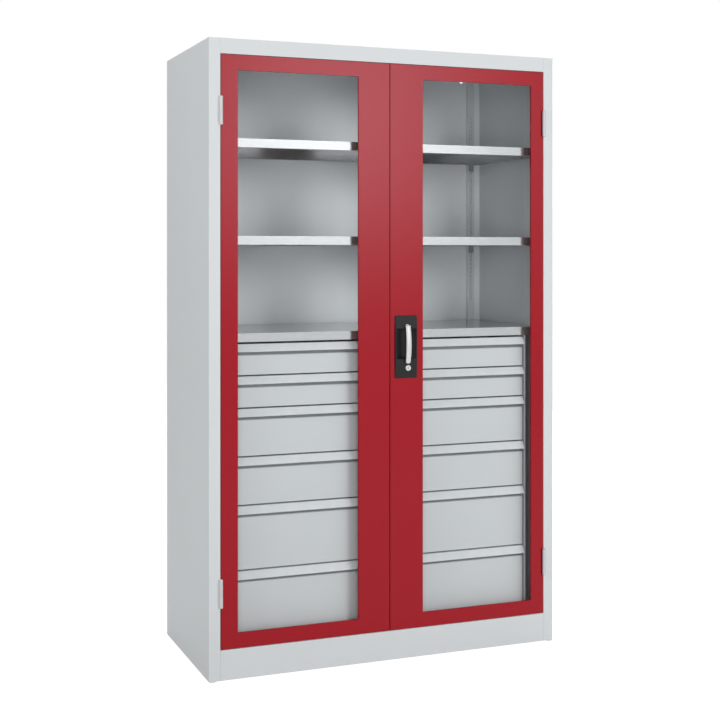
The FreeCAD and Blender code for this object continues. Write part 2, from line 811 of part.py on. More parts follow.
def window(side):
    """Clear pane behind the door's sheet, with the folded frame that holds it in."""
    sign = SIDES[side]
    inner, outer = window_edges(side)
    pane_x = spread(inner, outer, dim["pane_overlap"])
    pane_z = spread(window_low, window_high, dim["pane_overlap"])
    low_x, high_x = pane_x if sign > 0 else (-pane_x[1], -pane_x[0])
    keep(box(side + "_window_pane", (low_x, pane_front, pane_z[0]), (high_x, pane_rear, pane_z[1])))
    gap, skin = dim["pane_edge_clearance"], dim["retainer_sheet"]
    hole_x, hole_z = spread(*pane_x, gap), spread(*pane_z, gap)
    rim_x, rim_z = spread(*hole_x, skin), spread(*hole_z, skin)
    rim = mirrored(rectangle(rim_x[0], rim_z[0], rim_x[1], rim_z[1]), sign)
    hole = mirrored(rectangle(hole_x[0], hole_z[0], hole_x[1], hole_z[1]), sign)
    sight = mirrored(rectangle(inner, window_low, outer, window_high), sign)
    body = doc.addObject("PartDesign::Body", side + "_window_retainer")
    pad(body, "XZ_Plane", side + "_retainer_wall", [rim, hole], dim["pane_thickness"], pane_front)
    pad(body, "XZ_Plane", side + "_retainer_face", [rim, sight], skin, pane_rear)
    keep(body)


def knuckle(name, sign, low, high, bore, leaf_edge, leaf_side):
    """Half of a lift-off hinge: a bored barrel with a leaf that runs back into the door gap."""
    centre = axis_x * sign
    leaf_face = (leaf_edge + dim["leaf_sheet"] * leaf_side) * sign
    edge = leaf_edge * sign
    low_x, high_x = (edge, leaf_face) if edge.value < leaf_face.value else (leaf_face, edge)
    barrel = rod(name + "_barrel", (centre, axis_y, low), dim["knuckle_radius"], high - low, "Z")
    leaf = box(name + "_leaf", (low_x, axis_y, low), (high_x, front + dim["leaf_depth"], high))
    return cut(name, fuse(name + "_blank", [barrel, leaf]),
               [rod(name + "_bore", (centre, axis_y, low - over), bore, high - low + over * 2, "Z")])


def hinges():
    frame_halves, pins = [], []
    half, split = dim["hinge_height"] / 2, dim["knuckle_split"] / 2
    pin_bore = dim["hinge_pin_radius"] + dim["hinge_pin_clearance"]
    for side, sign in SIDES.items():
        door_halves = []
        for end, centre in hinge_centres.items():
            name = "%s_%s" % (side, end)
            frame_halves.append(knuckle(name + "_frame_half", sign, centre - half, centre - split,
                                        pin_bore, post_edge, -1))
            door_halves.append(knuckle(name + "_door_half", sign, centre + split, centre + half,
                                       pin_bore, door_hinge_edge, 1))
            pins.append(rod(name + "_hinge_pin", (axis_x * sign, axis_y, centre - half),
                            dim["hinge_pin_radius"], dim["hinge_height"], "Z"))
        keep(group(side + "_door_knuckles", door_halves))
    keep(group("frame_knuckles", frame_halves))
    keep(group("hinge_pins", pins))


def rounded_rectangle(x_low, y_low, x_high, y_high, radius):
    """A rectangle with quarter arcs at its corners, drawn counter-clockwise."""
    return [
        (x_low + radius, y_low), (x_high - radius, y_low, radius),
        (x_high, y_low + radius), (x_high, y_high - radius, radius),
        (x_high - radius, y_high), (x_low + radius, y_high, radius),
        (x_low, y_high - radius), (x_low, y_low + radius, radius),
    ]


def dish_slab():
    """What two rising wedges, drafted sides and a round-cornered outline have in common."""
    rim, peak = front - dim["dish_rim"], front - dim["dish_peak"]
    dish_high = dish_low + dim["dish_height"]
    dish_right = dish_left + dim["dish_width"]
    bevel = dim["dish_bevel"]
    wedges = prism("dish_wedges", "YZ_Plane", [[
        (front, dish_low), (front, dish_high), (rim, dish_high), (peak, hollow_low + dim["hollow_height"]),
        (peak, hollow_low), (rim, dish_low)]], dish_left, dim["dish_width"])
    draft = prism("dish_draft", "XY_Plane", [[
        (dish_left, front), (dish_left + bevel, peak), (dish_right - bevel, peak), (dish_right, front)]],
        dish_low, dim["dish_height"])
    outline = prism("dish_outline", "XZ_Plane", [
        rounded_rectangle(dish_left, dish_low, dish_right, dish_high, dim["dish_corner_radius"])],
        peak, dim["dish_peak"])
    slab = doc.addObject("Part::MultiCommon", "dish_slab")
    slab.Shapes = [wedges, draft, outline]
    return slab


def handle_dish():
    """Black dish: two wedges that rise to a finger hollow, with bores for spindle and lock."""
    peak = front - dim["dish_peak"]
    hollow_high = hollow_low + dim["hollow_height"]
    hollow_rear = front + dim["hollow_depth"]
    mouth, half, bottom = dim["hollow_mouth"] / 2, dim["hollow_width"] / 2, dim["hollow_floor_width"] / 2
    wall = dim["dish_wall"]
    tub = box("dish_tub", (dish_middle - half - wall, front, hollow_low - wall),
              (dish_middle + half + wall, hollow_rear + wall, hollow_high + wall))
    trough = [(dish_middle - mouth, peak - over), (dish_middle - mouth, peak), (dish_middle - half, front),
              (dish_middle - bottom, hollow_rear), (dish_middle + bottom, hollow_rear),
              (dish_middle + half, front), (dish_middle + mouth, peak), (dish_middle + mouth, peak - over)]
    tools = [
        prism("dish_hollow", "XY_Plane", [trough], hollow_low, dim["hollow_height"]),
        rod("dish_spindle_bore", (lever_x, peak - over, dim["lever_level"]),
            dim["spindle_radius"] + dim["spindle_clearance"],
            dim["dish_peak"] + dim["hollow_depth"] + wall + over * 2, "Y"),
        rod("dish_lock_bore", (lock_x, peak - over, dim["lock_level"]),
            dim["lock_body_radius"] + dim["spindle_clearance"], dim["dish_peak"] + over * 2, "Y"),
        rod("dish_lock_seat", (lock_x, peak - over, dim["lock_level"]),
            dim["lock_head_radius"] + dim["spindle_clearance"],
            dim["dish_peak"] - dim["dish_rim"] + over, "Y"),
    ]
    keep(cut("handle_dish", fuse("dish_solid", [dish_slab(), tub]), tools))


lever_axis_y = front - dim["dish_peak"] - dim["lever_dish_clearance"] - dim["lever_thickness"] / 2


def handle_lever():
    """Bowed lever that hangs from a pivot at its top, slotted behind for the spindle's tongue."""
    half = dim["lever_thickness"] / 2
    top = dim["lever_level"]
    low = top - dim["lever_length"]
    span = dim["lever_length"].value
    bow = dim["lever_bow"].value
    radius = dim["lever_length"] * ((span * span / 4 + bow * bow) / (2 * bow) / span)
    body = doc.addObject("PartDesign::Body", "lever_blank")
    pad(body, "YZ_Plane", "lever_bar", [[
        (lever_axis_y - half, low, -radius), (lever_axis_y - half, top, -half),
        (lever_axis_y, top + half, -half), (lever_axis_y + half, top, radius),
        (lever_axis_y + half, low, -half), (lever_axis_y, low - half, -half)]],
        dim["lever_width"], lever_x - dim["lever_width"] / 2)
    sides = [lever_x - dim["lever_width"] / 2, lever_x + dim["lever_width"] / 2]

    def long_side_edge(edge):
        on_side = any(all(near(v.X, x) for v in edge.Vertexes) for x in sides)
        return on_side and edge.Length > span / 2

    bevel_edges(body, dim["lever_edge_bevel"], long_side_edge)
    gap = dim["tongue_width"] / 2 + dim["tongue_clearance"]
    nose_room = dim["tongue_nose_radius"] + dim["tongue_clearance"]
    tools = [
        box("lever_slot", (lever_x - gap, lever_axis_y - nose_room, top - nose_room),
            (lever_x + gap, front, top + nose_room + dim["tongue_clearance"])),
        rod("lever_bore", (lever_x - dim["lever_width"], lever_axis_y, top),
            dim["trunnion_radius"] + dim["trunnion_clearance"], dim["lever_width"] * 2, "X"),
    ]
    keep(cut("handle_lever", body, tools))


def handle_spindle():
    """Turning spindle with a tongue and two stub shafts that the lever hangs on."""
    half = dim["tongue_width"] / 2
    nose = front - dim["dish_peak"] - dim["lever_dish_clearance"] / 2
    top = dim["lever_level"]
    tall = dim["tongue_height"] / 2
    pieces = [
        rod("spindle_shaft", (lever_x, nose, top), dim["spindle_radius"],
            front + dim["spindle_length"] - nose, "Y"),
        box("spindle_tongue", (lever_x - half, lever_axis_y, top - tall),
            (lever_x + half, nose + over, top + tall)),
        rod("spindle_tongue_nose", (lever_x - half, lever_axis_y, top), dim["tongue_nose_radius"],
            dim["tongue_width"], "X"),
        rod("spindle_stub_shafts", (lever_x - dim["lever_width"] / 2, lever_axis_y, top),
            dim["trunnion_radius"], dim["lever_width"], "X"),
    ]
    keep(fuse("handle_spindle", pieces))


disc_front = front + dim["spindle_length"]
disc_rear = disc_front + dim["disc_sheet"]
rod_front = disc_rear + dim["rod_gap"]
rod_rear = rod_front + dim["rod_sheet"]
crank_rest = dim["crank_radius"] * math.cos(math.radians(CRANK_REST_ANGLE))


def drive_disc():
    """Disc on the spindle's rear end whose two crank pins push the lock rods apart."""
    pieces = [rod("disc_plate", (lever_x, disc_front, dim["lever_level"]),
                  dim["disc_radius"], dim["disc_sheet"], "Y")]
    for side, sign in SIDES.items():
        pieces.append(rod(side + "_crank_pin",
                          (lever_x + crank_rest * sign, disc_rear, dim["lever_level"] - crank_rest * sign),
                          dim["crank_pin_radius"], dim["crank_pin_length"], "Y"))
    keep(fuse("drive_disc", pieces))


def lock_cylinder():
    """Turning key cylinder with its head, key slot and locking cam."""
    face = front - dim["dish_rim"]
    head = face - dim["lock_head_height"]
    tail = face + dim["lock_body_length"]
    half = dim["lock_cam_width"] / 2
    solid = fuse("lock_solid", [
        rod("lock_head", (lock_x, head, dim["lock_level"]), dim["lock_head_radius"],
            dim["lock_head_height"], "Y"),
        rod("lock_body", (lock_x, face, dim["lock_level"]), dim["lock_body_radius"],
            dim["lock_body_length"], "Y"),
        box("lock_cam", (lock_x - half, tail, dim["lock_level"] - dim["lock_cam_length"]),
            (lock_x + half, tail + dim["lock_cam_sheet"], dim["lock_level"] + half)),
    ])
    wide, tall = dim["key_slot_width"] / 2, dim["key_slot_length"] / 2
    keep(cut("lock_cylinder", solid, [
        box("key_slot", (lock_x - wide, head - over, dim["lock_level"] - tall),
            (lock_x + wide, head + dim["key_slot_depth"], dim["lock_level"] + tall))]))


ROD_WAYS = {"upper": 1, "lower": -1}
rod_ends = {"upper": door_top - dim["rod_end_gap"], "lower": door_bottom + dim["rod_end_gap"]}


def lock_rod(name):
    """Flat rod with an eye whose slot rides on one crank pin."""
    way = ROD_WAYS[name]
    bar_x = lever_x + dim["crank_radius"] * way
    eye_z = dim["lever_level"] - crank_rest * way
    eye_end = eye_z - dim["rod_eye_height"] / 2 * way
    eye_start = eye_z + dim["rod_eye_height"] / 2 * way
    half, wide = dim["rod_width"] / 2, dim["rod_eye_width"] / 2
    end = rod_ends[name]
    slot_half = dim["crank_pin_radius"] + dim["rod_slot_clearance"]
    slot_wide = dim["rod_slot_length"] / 2
    body = doc.addObject("PartDesign::Body", name + "_lock_rod")
    pad(body, "XZ_Plane", name + "_rod_bar", [
        [(bar_x - wide, eye_end), (bar_x + wide, eye_end), (bar_x + wide, eye_start),
         (bar_x + half, eye_start), (bar_x + half, end), (bar_x - half, end),
         (bar_x - half, eye_start), (bar_x - wide, eye_start)],
        rectangle(bar_x - slot_wide, eye_z - slot_half, bar_x + slot_wide, eye_z + slot_half)],
        dim["rod_sheet"], rod_front)
    keep(body)


def rod_guides():
    """Guide blocks on the door: one near each end of the door and one halfway along each rod."""
    guides = []
    wide, tall, wall = dim["guide_width"] / 2, dim["guide_height"], dim["guide_wall"]
    slack = dim["guide_clearance"]
    half = dim["rod_width"] / 2 + slack
    for name, way in ROD_WAYS.items():
        bar_x = lever_x + dim["crank_radius"] * way
        door_end = door_top if way > 0 else door_bottom
        end_z = door_end - (dim["guide_end_distance"] + tall / 2) * way
        middle_z = dim["lever_level"] + dim["guide_middle_distance"] * way
        for place_name, z, seat in (("end", end_z, front + dim["door_depth"]),
                                    ("middle", middle_z, front + dim["door_sheet"])):
            block = box("%s_%s_guide_block" % (name, place_name), (bar_x - wide, seat, z - tall / 2),
                        (bar_x + wide, rod_rear + slack + wall, z + tall / 2))
            way_through = box("%s_%s_guide_way" % (name, place_name),
                              (bar_x - half, rod_front - slack, z - tall),
                              (bar_x + half, rod_rear + slack, z + tall))
            guides.append(cut("%s_%s_guide" % (name, place_name), block, [way_through]))
    keep(group("rod_guides", guides))


def build():
    carcass()
    uprights()
    for level_name in SHELF_NAMES:
        shelf(level_name)
    shelf_clips()
    drawer_housing()
    drawers()
    for side in SIDES:
        door_panel(side)
        window(side)
    hinges()
    handle_dish()
    handle_lever()
    handle_spindle()
    drive_disc()
    lock_cylinder()
    for name in ROD_WAYS:
        lock_rod(name)
    rod_guides()
    doc.recompute()


def check():
    """Stops before anything is written if an object failed or a shape is not sound."""
    for thing in doc.Objects:
        if "Invalid" in thing.State or "Error" in thing.State:
            raise RuntimeError("%s failed: %s" % (thing.Name, thing.State))
    for node in nodes:
        if node.Shape.isNull() or not node.Shape.isValid() or not node.Shape.Solids:
            raise RuntimeError("%s has no sound shape" % node.Label)


def export():
    os.makedirs("parts", exist_ok=True)
    for node in nodes:
        node.Shape.exportStep("parts/%s.step" % node.Label)
    print(len(nodes), "sub-parts written")


build()
check()
export()
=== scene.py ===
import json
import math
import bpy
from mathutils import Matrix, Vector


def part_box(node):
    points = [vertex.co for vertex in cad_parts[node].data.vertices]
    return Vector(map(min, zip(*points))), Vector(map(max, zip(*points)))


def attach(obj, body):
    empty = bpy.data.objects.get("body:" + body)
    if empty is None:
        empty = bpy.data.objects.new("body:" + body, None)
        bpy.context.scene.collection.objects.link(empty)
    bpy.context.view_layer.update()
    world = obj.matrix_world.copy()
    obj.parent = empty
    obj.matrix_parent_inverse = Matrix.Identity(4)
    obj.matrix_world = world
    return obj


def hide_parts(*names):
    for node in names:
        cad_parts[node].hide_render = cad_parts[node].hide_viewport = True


bl_info = {
    "name": "Heavy-duty cabinet",
    "version": (1, 0, 0),
    "blender": (4, 5, 0),
    "location": "View3D > Sidebar > Cabinet",
    "description": "Finishes a glazed steel cabinet with shelves and drawers around its CAD frame",
    "category": "Object",
}

import bmesh
import bpy
import numpy as np
from mathutils import Vector

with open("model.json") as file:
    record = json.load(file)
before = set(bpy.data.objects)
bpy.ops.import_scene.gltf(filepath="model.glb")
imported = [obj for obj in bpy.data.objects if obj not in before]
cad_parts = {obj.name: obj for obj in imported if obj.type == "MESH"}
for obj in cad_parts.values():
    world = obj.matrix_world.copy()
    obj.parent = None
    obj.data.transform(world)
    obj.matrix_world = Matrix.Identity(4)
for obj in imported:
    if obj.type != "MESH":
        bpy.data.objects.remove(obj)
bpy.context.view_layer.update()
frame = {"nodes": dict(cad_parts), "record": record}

SIDES = ("left", "right")
ROW_COUNT = 6
WHITE = (1, 1, 1)
WELD_DISTANCE = 1e-7
SHARP_ANGLE = math.radians(35)
DISH_SHARP_ANGLE = math.radians(50)

# bends of a drawer front, counted from its hanging flange
CROWN, NOSE, HOLLOW, SLOPE = 1, 2, 3, 4

# points along each stretch of the handle's surfaces and of the small turned profiles
EDGE_STEPS, MOUTH_STEPS, RIM_STEPS = 8, 22, 4
END_STEPS, WALL_STEPS, TROUGH_STEPS = 12, 9, 16
LEVER_RINGS, LEVER_SIDES, BEAD_SIDES = 64, 36, 12
TIP_STEPS, SCREW_STEPS = 7, 6

# powder coat: noise scales, bump depth, and the range or end value of each effect
PEEL_SCALE, CLOUD_SCALE, RUB_SCALE = 420.0, 2.2, 38.0
PEEL_DEPTH = 0.0004
CLOUD_SPREAD = (0.97, 1.03)
# the rubbed colour lightens bends and drawer grips as wear and painted highlight; the shade colour is
# painted shade in drawer hollows
RUB_AND_HIGHLIGHT_COLOUR, RUBBED_ROUGHNESS, PAINTED_SHADE_COLOUR = 1.2, 0.8, 0.42

# zinc coat: haze, then how much the crystals differ in colour and roughness
HAZE_SCALE, HAZE_BUMP, HAZE_DEPTH = 6.0, 0.02, 0.0001
HAZE_SPREAD = (0.97, 1.03)
FLAKE_SPREAD = (0.985, 1.015)
FLAKE_GLOSS_SPREAD = (0.9, 1.1)

# brushed metal: noise scales across and along the streaks
STREAK_SCALE = (900.0, 900.0, 12.0)
STREAK_DEPTH = 0.0002
STREAK_SPREAD = (0.92, 1.08)

# stage
BACKDROP_RAYS = ("Is Camera Ray", "Is Glossy Ray", "Is Transmission Ray")
FLOOR_ROUGHNESS = 0.9
PHOTO_SIZE = 720
PHOTO_MIDDLE = 0.5
SENSOR_WIDTH = 36.0
LEVEL_TILT = math.radians(90)


# frame measurements


def corners(node):
    """Lowest and highest corner of a CAD node, as two arrays."""
    low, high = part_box(node)
    return np.array(low), np.array(high)


# surfaces


def put_mesh(name, points, faces, **marks):
    """A welded mesh object at the origin; marks are numbers per point, kept as named attributes."""
    mesh = bpy.data.meshes.new(name)
    mesh.from_pydata(np.asarray(points, float).reshape(-1, 3).tolist(), [], np.asarray(faces).tolist())
    for label, values in marks.items():
        layer = mesh.attributes.new(label, "FLOAT", "POINT")
        layer.data.foreach_set("value", np.asarray(values, np.float32).ravel())
    work = bmesh.new()
    work.from_mesh(mesh)
    bmesh.ops.remove_doubles(work, verts=work.verts, dist=WELD_DISTANCE)
    if not any(edge.is_boundary for edge in work.edges):
        bmesh.ops.recalc_face_normals(work, faces=work.faces)
    work.to_mesh(mesh)
    work.free()
    thing = bpy.data.objects.new(name, mesh)
    bpy.context.scene.collection.objects.link(thing)
    return thing


def grid_faces(rows, columns, wrap_rows=False, wrap_columns=False):
    """Quads between neighbours of a rows by columns grid, joined end to start where it wraps."""
    r = np.arange(rows if wrap_rows else rows - 1)
    c = np.arange(columns if wrap_columns else columns - 1)
    r, c = np.meshgrid(r, c, indexing="ij")
    r2, c2 = (r + 1) % rows, (c + 1) % columns
    quads = np.stack([r * columns + c, r2 * columns + c, r2 * columns + c2, r * columns + c2], -1)
    return quads.reshape(-1, 4)


def smooth(thing, angle=SHARP_ANGLE):
    """Smooth shading, with edges kept sharp above an angle."""
    thing.data.shade_smooth()
    thing.data.set_sharp_from_angle(angle=angle)
    return thing


def unit(vectors):
    """Vectors divided by their own length."""
    return vectors / np.linalg.norm(vectors, axis=-1, keepdims=True)


def rounded_path(points, radii, steps):
    """
    Straight runs with an arc at each inner corner. A corner of angle g and radius r is cut back by
    r / tan(g / 2) on both sides, and the arc turns about the point r / sin(g / 2) along its middle.
    Returns the points and a mark per point that rises to 1 in the middle of each arc.
    """
    points = np.asarray(points, float)
    before, corner, after = points[:-2], points[1:-1], points[2:]
    to_before, to_after = unit(before - corner), unit(after - corner)
    angle = np.arccos(np.clip((to_before * to_after).sum(-1), -1, 1))[:, None]
    radius = np.asarray(radii, float)[:, None]
    centre = corner + unit(to_before + to_after) * radius / np.sin(angle / 2)
    start = corner + to_before * radius / np.tan(angle / 2) - centre
    end = corner + to_after * radius / np.tan(angle / 2) - centre
    turn = (math.pi - angle)[:, :, None]
    share = np.linspace(0, 1, steps)[None, :, None]
    sweep = np.sin((1 - share) * turn) * start[:, None] + np.sin(share * turn) * end[:, None]
    arcs = (centre[:, None] + sweep / np.sin(turn)).reshape(-1, 2)
    marks = np.concatenate([[0], np.tile(np.sin(share.ravel() * math.pi), len(corner)), [0]])
    return np.vstack([points[:1], arcs, points[-1:]]), marks


def offset_path(path, distance):
    """The path moved to its left by a distance, square to the mean direction at each point."""
    run = unit(np.diff(path, axis=0))
    before, after = np.vstack([run[:1], run]), np.vstack([run, run[-1:]])
    mean = unit(before + after)
    reach = distance / (mean * after).sum(-1, keepdims=True)
    return path + np.stack([-mean[:, 1], mean[:, 0]], -1) * reach


def folded_sheet(path, sheet, ends):
    """
    A sheet of even thickness along a path in Y and Z, carried along X between two ends: a loop
    of the path and its offset at each end, joined round the loop and closed across the thickness.
    """
    count = len(path)
    loop = np.vstack([path, offset_path(path, sheet)[::-1]])
    points = np.empty((2, 2 * count, 3))
    points[..., 0] = np.asarray(ends)[:, None]
    points[..., 1:] = loop
    step = np.arange(count - 1)
    cap = np.stack([step, step + 1, 2 * count - 2 - step, 2 * count - 1 - step], -1)
    faces = np.vstack([grid_faces(2, 2 * count, wrap_columns=True), cap, cap[:, ::-1] + 2 * count])
    return points, faces


def turned(profile, centres, axis, segments, closed=False):
    """
    Copies of a profile of radius and rise, turned about an axis through each centre: a point is
    the centre plus radius times the turning direction plus rise times the axis.
    """
    profile, centres = np.asarray(profile, float), np.asarray(centres, float)
    axis = np.asarray(axis, float)
    side = np.roll(axis, 1)
    angle = np.linspace(0, 2 * math.pi, segments, endpoint=False)[:, None]
    ring = np.cos(angle) * side + np.sin(angle) * np.cross(axis, side)
    shape = ring[:, None] * profile[:, :1] + axis * profile[:, 1:]
    points = centres[:, None, None] + shape
    faces = grid_faces(segments, len(profile), wrap_rows=True, wrap_columns=closed)
    shift = np.arange(len(centres)) * segments * len(profile)
    return points, (faces[None] + shift[:, None, None]).reshape(-1, 4)


def dome(radius, rise, skirt, steps):
    """Profile of a dome: a short skirt, then radius times the cosine and rise times the sine."""
    angle = np.linspace(0, math.pi / 2, steps)
    cap = np.stack([radius * np.cos(angle), rise * np.sin(angle)], -1)
    return np.vstack([[[radius, -skirt]], cap])


def quarter_round(distance, radius):
    """0 at an edge, rising as a quarter circle to 1 at one radius from it."""
    share = np.clip(distance / radius, 0, 1)
    return np.sqrt(1 - (1 - share) ** 2)


def smooth_step(value, low, high):
    """0 below low, 1 above high, and three squares less two cubes of the share between."""
    share = np.clip((value - low) / (high - low), 0, 1)
    return share * share * (3 - 2 * share)


# shader effects


def new_group(name, inputs, outputs):
    """An empty shader node group with named sockets: (name, kind, default) and (name, kind)."""
    group = bpy.data.node_groups.new(name, "ShaderNodeTree")
    for label, kind, default in inputs:
        socket = group.interface.new_socket(label, in_out="INPUT", socket_type=kind)
        socket.default_value = default
    for label, kind in outputs:
        group.interface.new_socket(label, in_out="OUTPUT", socket_type=kind)
    return group, group.nodes.new("NodeGroupInput"), group.nodes.new("NodeGroupOutput")


def add(tree, kind, **values):
    """A node with attributes and input defaults set by name."""
    node = tree.nodes.new(kind)
    for key, value in values.items():
        if hasattr(node, key):
            setattr(node, key, value)
        else:
            node.inputs[key].default_value = value
    return node


def spread(tree, source, low, high):
    """Maps a value between 0 and 1 to the range from low to high."""
    node = add(tree, "ShaderNodeMapRange")
    node.inputs["To Min"].default_value = low
    node.inputs["To Max"].default_value = high
    tree.links.new(source, node.inputs["Value"])
    return node.outputs["Result"]


def product(tree, first, second):
    """One value times another."""
    node = add(tree, "ShaderNodeMath", operation="MULTIPLY")
    tree.links.new(first, node.inputs[0])
    tree.links.new(second, node.inputs[1])
    return node.outputs["Value"]


def shaded(tree, colour, factor):
    """A colour times a value."""
    node = add(tree, "ShaderNodeVectorMath", operation="SCALE")
    tree.links.new(colour, node.inputs[0])
    tree.links.new(factor, node.inputs["Scale"])
    return node.outputs["Vector"]


EFFECT_OUT = [
    ("Colour", "NodeSocketColor"),
    ("Roughness", "NodeSocketFloat"),
    ("Normal", "NodeSocketVector"),
]


def powder_coat_group():
    """Powder coat: orange-peel ripple, faint clouds of colour, bends lightened as rubbed wear with
    painted highlight, and painted shade in hollows.
    """
    group, source, sink = new_group("powder_coat", [
        ("Colour", "NodeSocketColor", (0.5, 0.5, 0.5, 1)),
        ("Roughness", "NodeSocketFloat", 0.4),
        ("Ripple", "NodeSocketFloat", 0.12),
    ], EFFECT_OUT)
    link = group.links.new
    place = add(group, "ShaderNodeTexCoord").outputs["Object"]
    peel = add(group, "ShaderNodeTexNoise", Scale=PEEL_SCALE, Detail=2.0)
    cloud = add(group, "ShaderNodeTexNoise", Scale=CLOUD_SCALE, Detail=3.0)
    rub = add(group, "ShaderNodeTexNoise", Scale=RUB_SCALE, Detail=4.0)
    for texture in (peel, cloud, rub):
        link(place, texture.inputs["Vector"])
    bump = add(group, "ShaderNodeBump", Distance=PEEL_DEPTH)
    link(peel.outputs["Fac"], bump.inputs["Height"])
    link(source.outputs["Ripple"], bump.inputs["Strength"])
    link(bump.outputs["Normal"], sink.inputs["Normal"])
    clouds = spread(group, cloud.outputs["Fac"], *CLOUD_SPREAD)
    # bend and grip marks times the rub noise: rubbed wear on bends and a painted highlight on drawer
    # grips, lighter in colour and lower in roughness
    fold = add(group, "ShaderNodeAttribute", attribute_name="fold")
    rub_and_highlight = product(group, fold.outputs["Fac"], rub.outputs["Fac"])
    tint = product(group, clouds, spread(group, rub_and_highlight, 1.0, RUB_AND_HIGHLIGHT_COLOUR))
    # painted shade in the drawer hollows pulls the colour down towards the shade colour
    grime = add(group, "ShaderNodeAttribute", attribute_name="grime")
    tint = product(group, tint, spread(group, grime.outputs["Fac"], 1.0, PAINTED_SHADE_COLOUR))
    link(shaded(group, source.outputs["Colour"], tint), sink.inputs["Colour"])
    gloss = product(group, clouds, spread(group, rub_and_highlight, 1.0, RUBBED_ROUGHNESS))
    link(product(group, source.outputs["Roughness"], gloss), sink.inputs["Roughness"])
    return group


def zinc_group():
    """Galvanised sheet: flat zinc crystals that each shine a little differently."""
    group, source, sink = new_group("zinc_coat", [
        ("Colour", "NodeSocketColor", (0.7, 0.7, 0.7, 1)),
        ("Roughness", "NodeSocketFloat", 0.2),
        ("Flake", "NodeSocketFloat", 160.0),
    ], EFFECT_OUT)
    link = group.links.new
    place = add(group, "ShaderNodeTexCoord").outputs["Object"]
    flake = add(group, "ShaderNodeTexVoronoi", feature="F1")
    haze = add(group, "ShaderNodeTexNoise", Scale=HAZE_SCALE, Detail=2.0)
    link(place, flake.inputs["Vector"])
    link(place, haze.inputs["Vector"])
    link(source.outputs["Flake"], flake.inputs["Scale"])
    grey = add(group, "ShaderNodeSeparateColor")
    link(flake.outputs["Color"], grey.inputs["Color"])
    tint = product(group, spread(group, grey.outputs["Red"], *FLAKE_SPREAD),
                   spread(group, haze.outputs["Fac"], *HAZE_SPREAD))
    link(shaded(group, source.outputs["Colour"], tint), sink.inputs["Colour"])
    gloss = spread(group, grey.outputs["Green"], *FLAKE_GLOSS_SPREAD)
    link(product(group, source.outputs["Roughness"], gloss), sink.inputs["Roughness"])
    bump = add(group, "ShaderNodeBump", Strength=HAZE_BUMP, Distance=HAZE_DEPTH)
    link(haze.outputs["Fac"], bump.inputs["Height"])
    link(bump.outputs["Normal"], sink.inputs["Normal"])
    return group


def brushed_group():
    """Brushed metal: fine streaks along the piece's height."""
    group, source, sink = new_group("brushed_metal", [
        ("Colour", "NodeSocketColor", (0.7, 0.7, 0.7, 1)),
        ("Roughness", "NodeSocketFloat", 0.25),
        ("Streak", "NodeSocketFloat", 0.1),
    ], EFFECT_OUT)
    link = group.links.new
    place = add(group, "ShaderNodeTexCoord").outputs["Object"]
    stretch = add(group, "ShaderNodeMapping", Scale=STREAK_SCALE)
    lines = add(group, "ShaderNodeTexNoise", Scale=1.0, Detail=3.0)
    link(place, stretch.inputs["Vector"])
    link(stretch.outputs["Vector"], lines.inputs["Vector"])
    shade = spread(group, lines.outputs["Fac"], *STREAK_SPREAD)
    link(shaded(group, source.outputs["Colour"], shade), sink.inputs["Colour"])
    link(product(group, source.outputs["Roughness"], shade), sink.inputs["Roughness"])
    bump = add(group, "ShaderNodeBump", Distance=STREAK_DEPTH)
    link(source.outputs["Streak"], bump.inputs["Strength"])
    link(lines.outputs["Fac"], bump.inputs["Height"])
    link(bump.outputs["Normal"], sink.inputs["Normal"])
    return group


def coated(name, group, colour, roughness, metallic=0.0, specular=0.5, tint=WHITE, **inputs):
    """A material whose colour, roughness and normal come from one of the shared groups."""
    material = bpy.data.materials.new(name)
    material.use_nodes = True
    tree = material.node_tree
    shader = tree.nodes["Principled BSDF"]
    shader.inputs["Metallic"].default_value = metallic
    shader.inputs["Specular IOR Level"].default_value = specular
    shader.inputs["Specular Tint"].default_value = (*tint, 1)
    effect = add(tree, "ShaderNodeGroup", node_tree=group)
    effect.inputs["Colour"].default_value = (*colour, 1)
    effect.inputs["Roughness"].default_value = roughness
    for label, value in inputs.items():
        effect.inputs[label].default_value = value
    for label, target in (("Colour", "Base Color"), ("Roughness", "Roughness"), ("Normal", "Normal")):
        tree.links.new(effect.outputs[label], shader.inputs[target])
    return material


def clear_pane(name, colour, refraction):
    """Clear glazing: glass to the eye, and open air to lamp light and to light between surfaces."""
    material = bpy.data.materials.new(name)
    material.use_nodes = True
    tree = material.node_tree
    shader = tree.nodes["Principled BSDF"]
    shader.inputs["Base Color"].default_value = (*colour, 1)
    shader.inputs["Roughness"].default_value = 0.0
    shader.inputs["IOR"].default_value = refraction
    shader.inputs["Transmission Weight"].default_value = 1.0
    way = add(tree, "ShaderNodeLightPath")
    through = add(tree, "ShaderNodeMath", operation="MAXIMUM")
    tree.links.new(way.outputs["Is Shadow Ray"], through.inputs[0])
    tree.links.new(way.outputs["Is Diffuse Ray"], through.inputs[1])
    open_air = add(tree, "ShaderNodeBsdfTransparent", Color=(*colour, 1))
    mix = add(tree, "ShaderNodeMixShader")
    tree.links.new(through.outputs["Value"], mix.inputs["Fac"])
    tree.links.new(shader.outputs["BSDF"], mix.inputs[1])
    tree.links.new(open_air.outputs["BSDF"], mix.inputs[2])
    tree.links.new(mix.outputs["Shader"], tree.nodes["Material Output"].inputs["Surface"])
    return material


def dress(thing, material):
    """Makes a material the only one of an object."""
    thing.data.materials.clear()
    thing.data.materials.append(material)


def finish_of(slot):
    """The material that the finishes step made for a slot of the record."""
    return bpy.data.materials[slot + "_finish"]


def finished(thing, slot, body):
    """Gives a new piece its finish and its body."""
    dress(thing, finish_of(slot))
    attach(thing, body)
    return thing


# settings


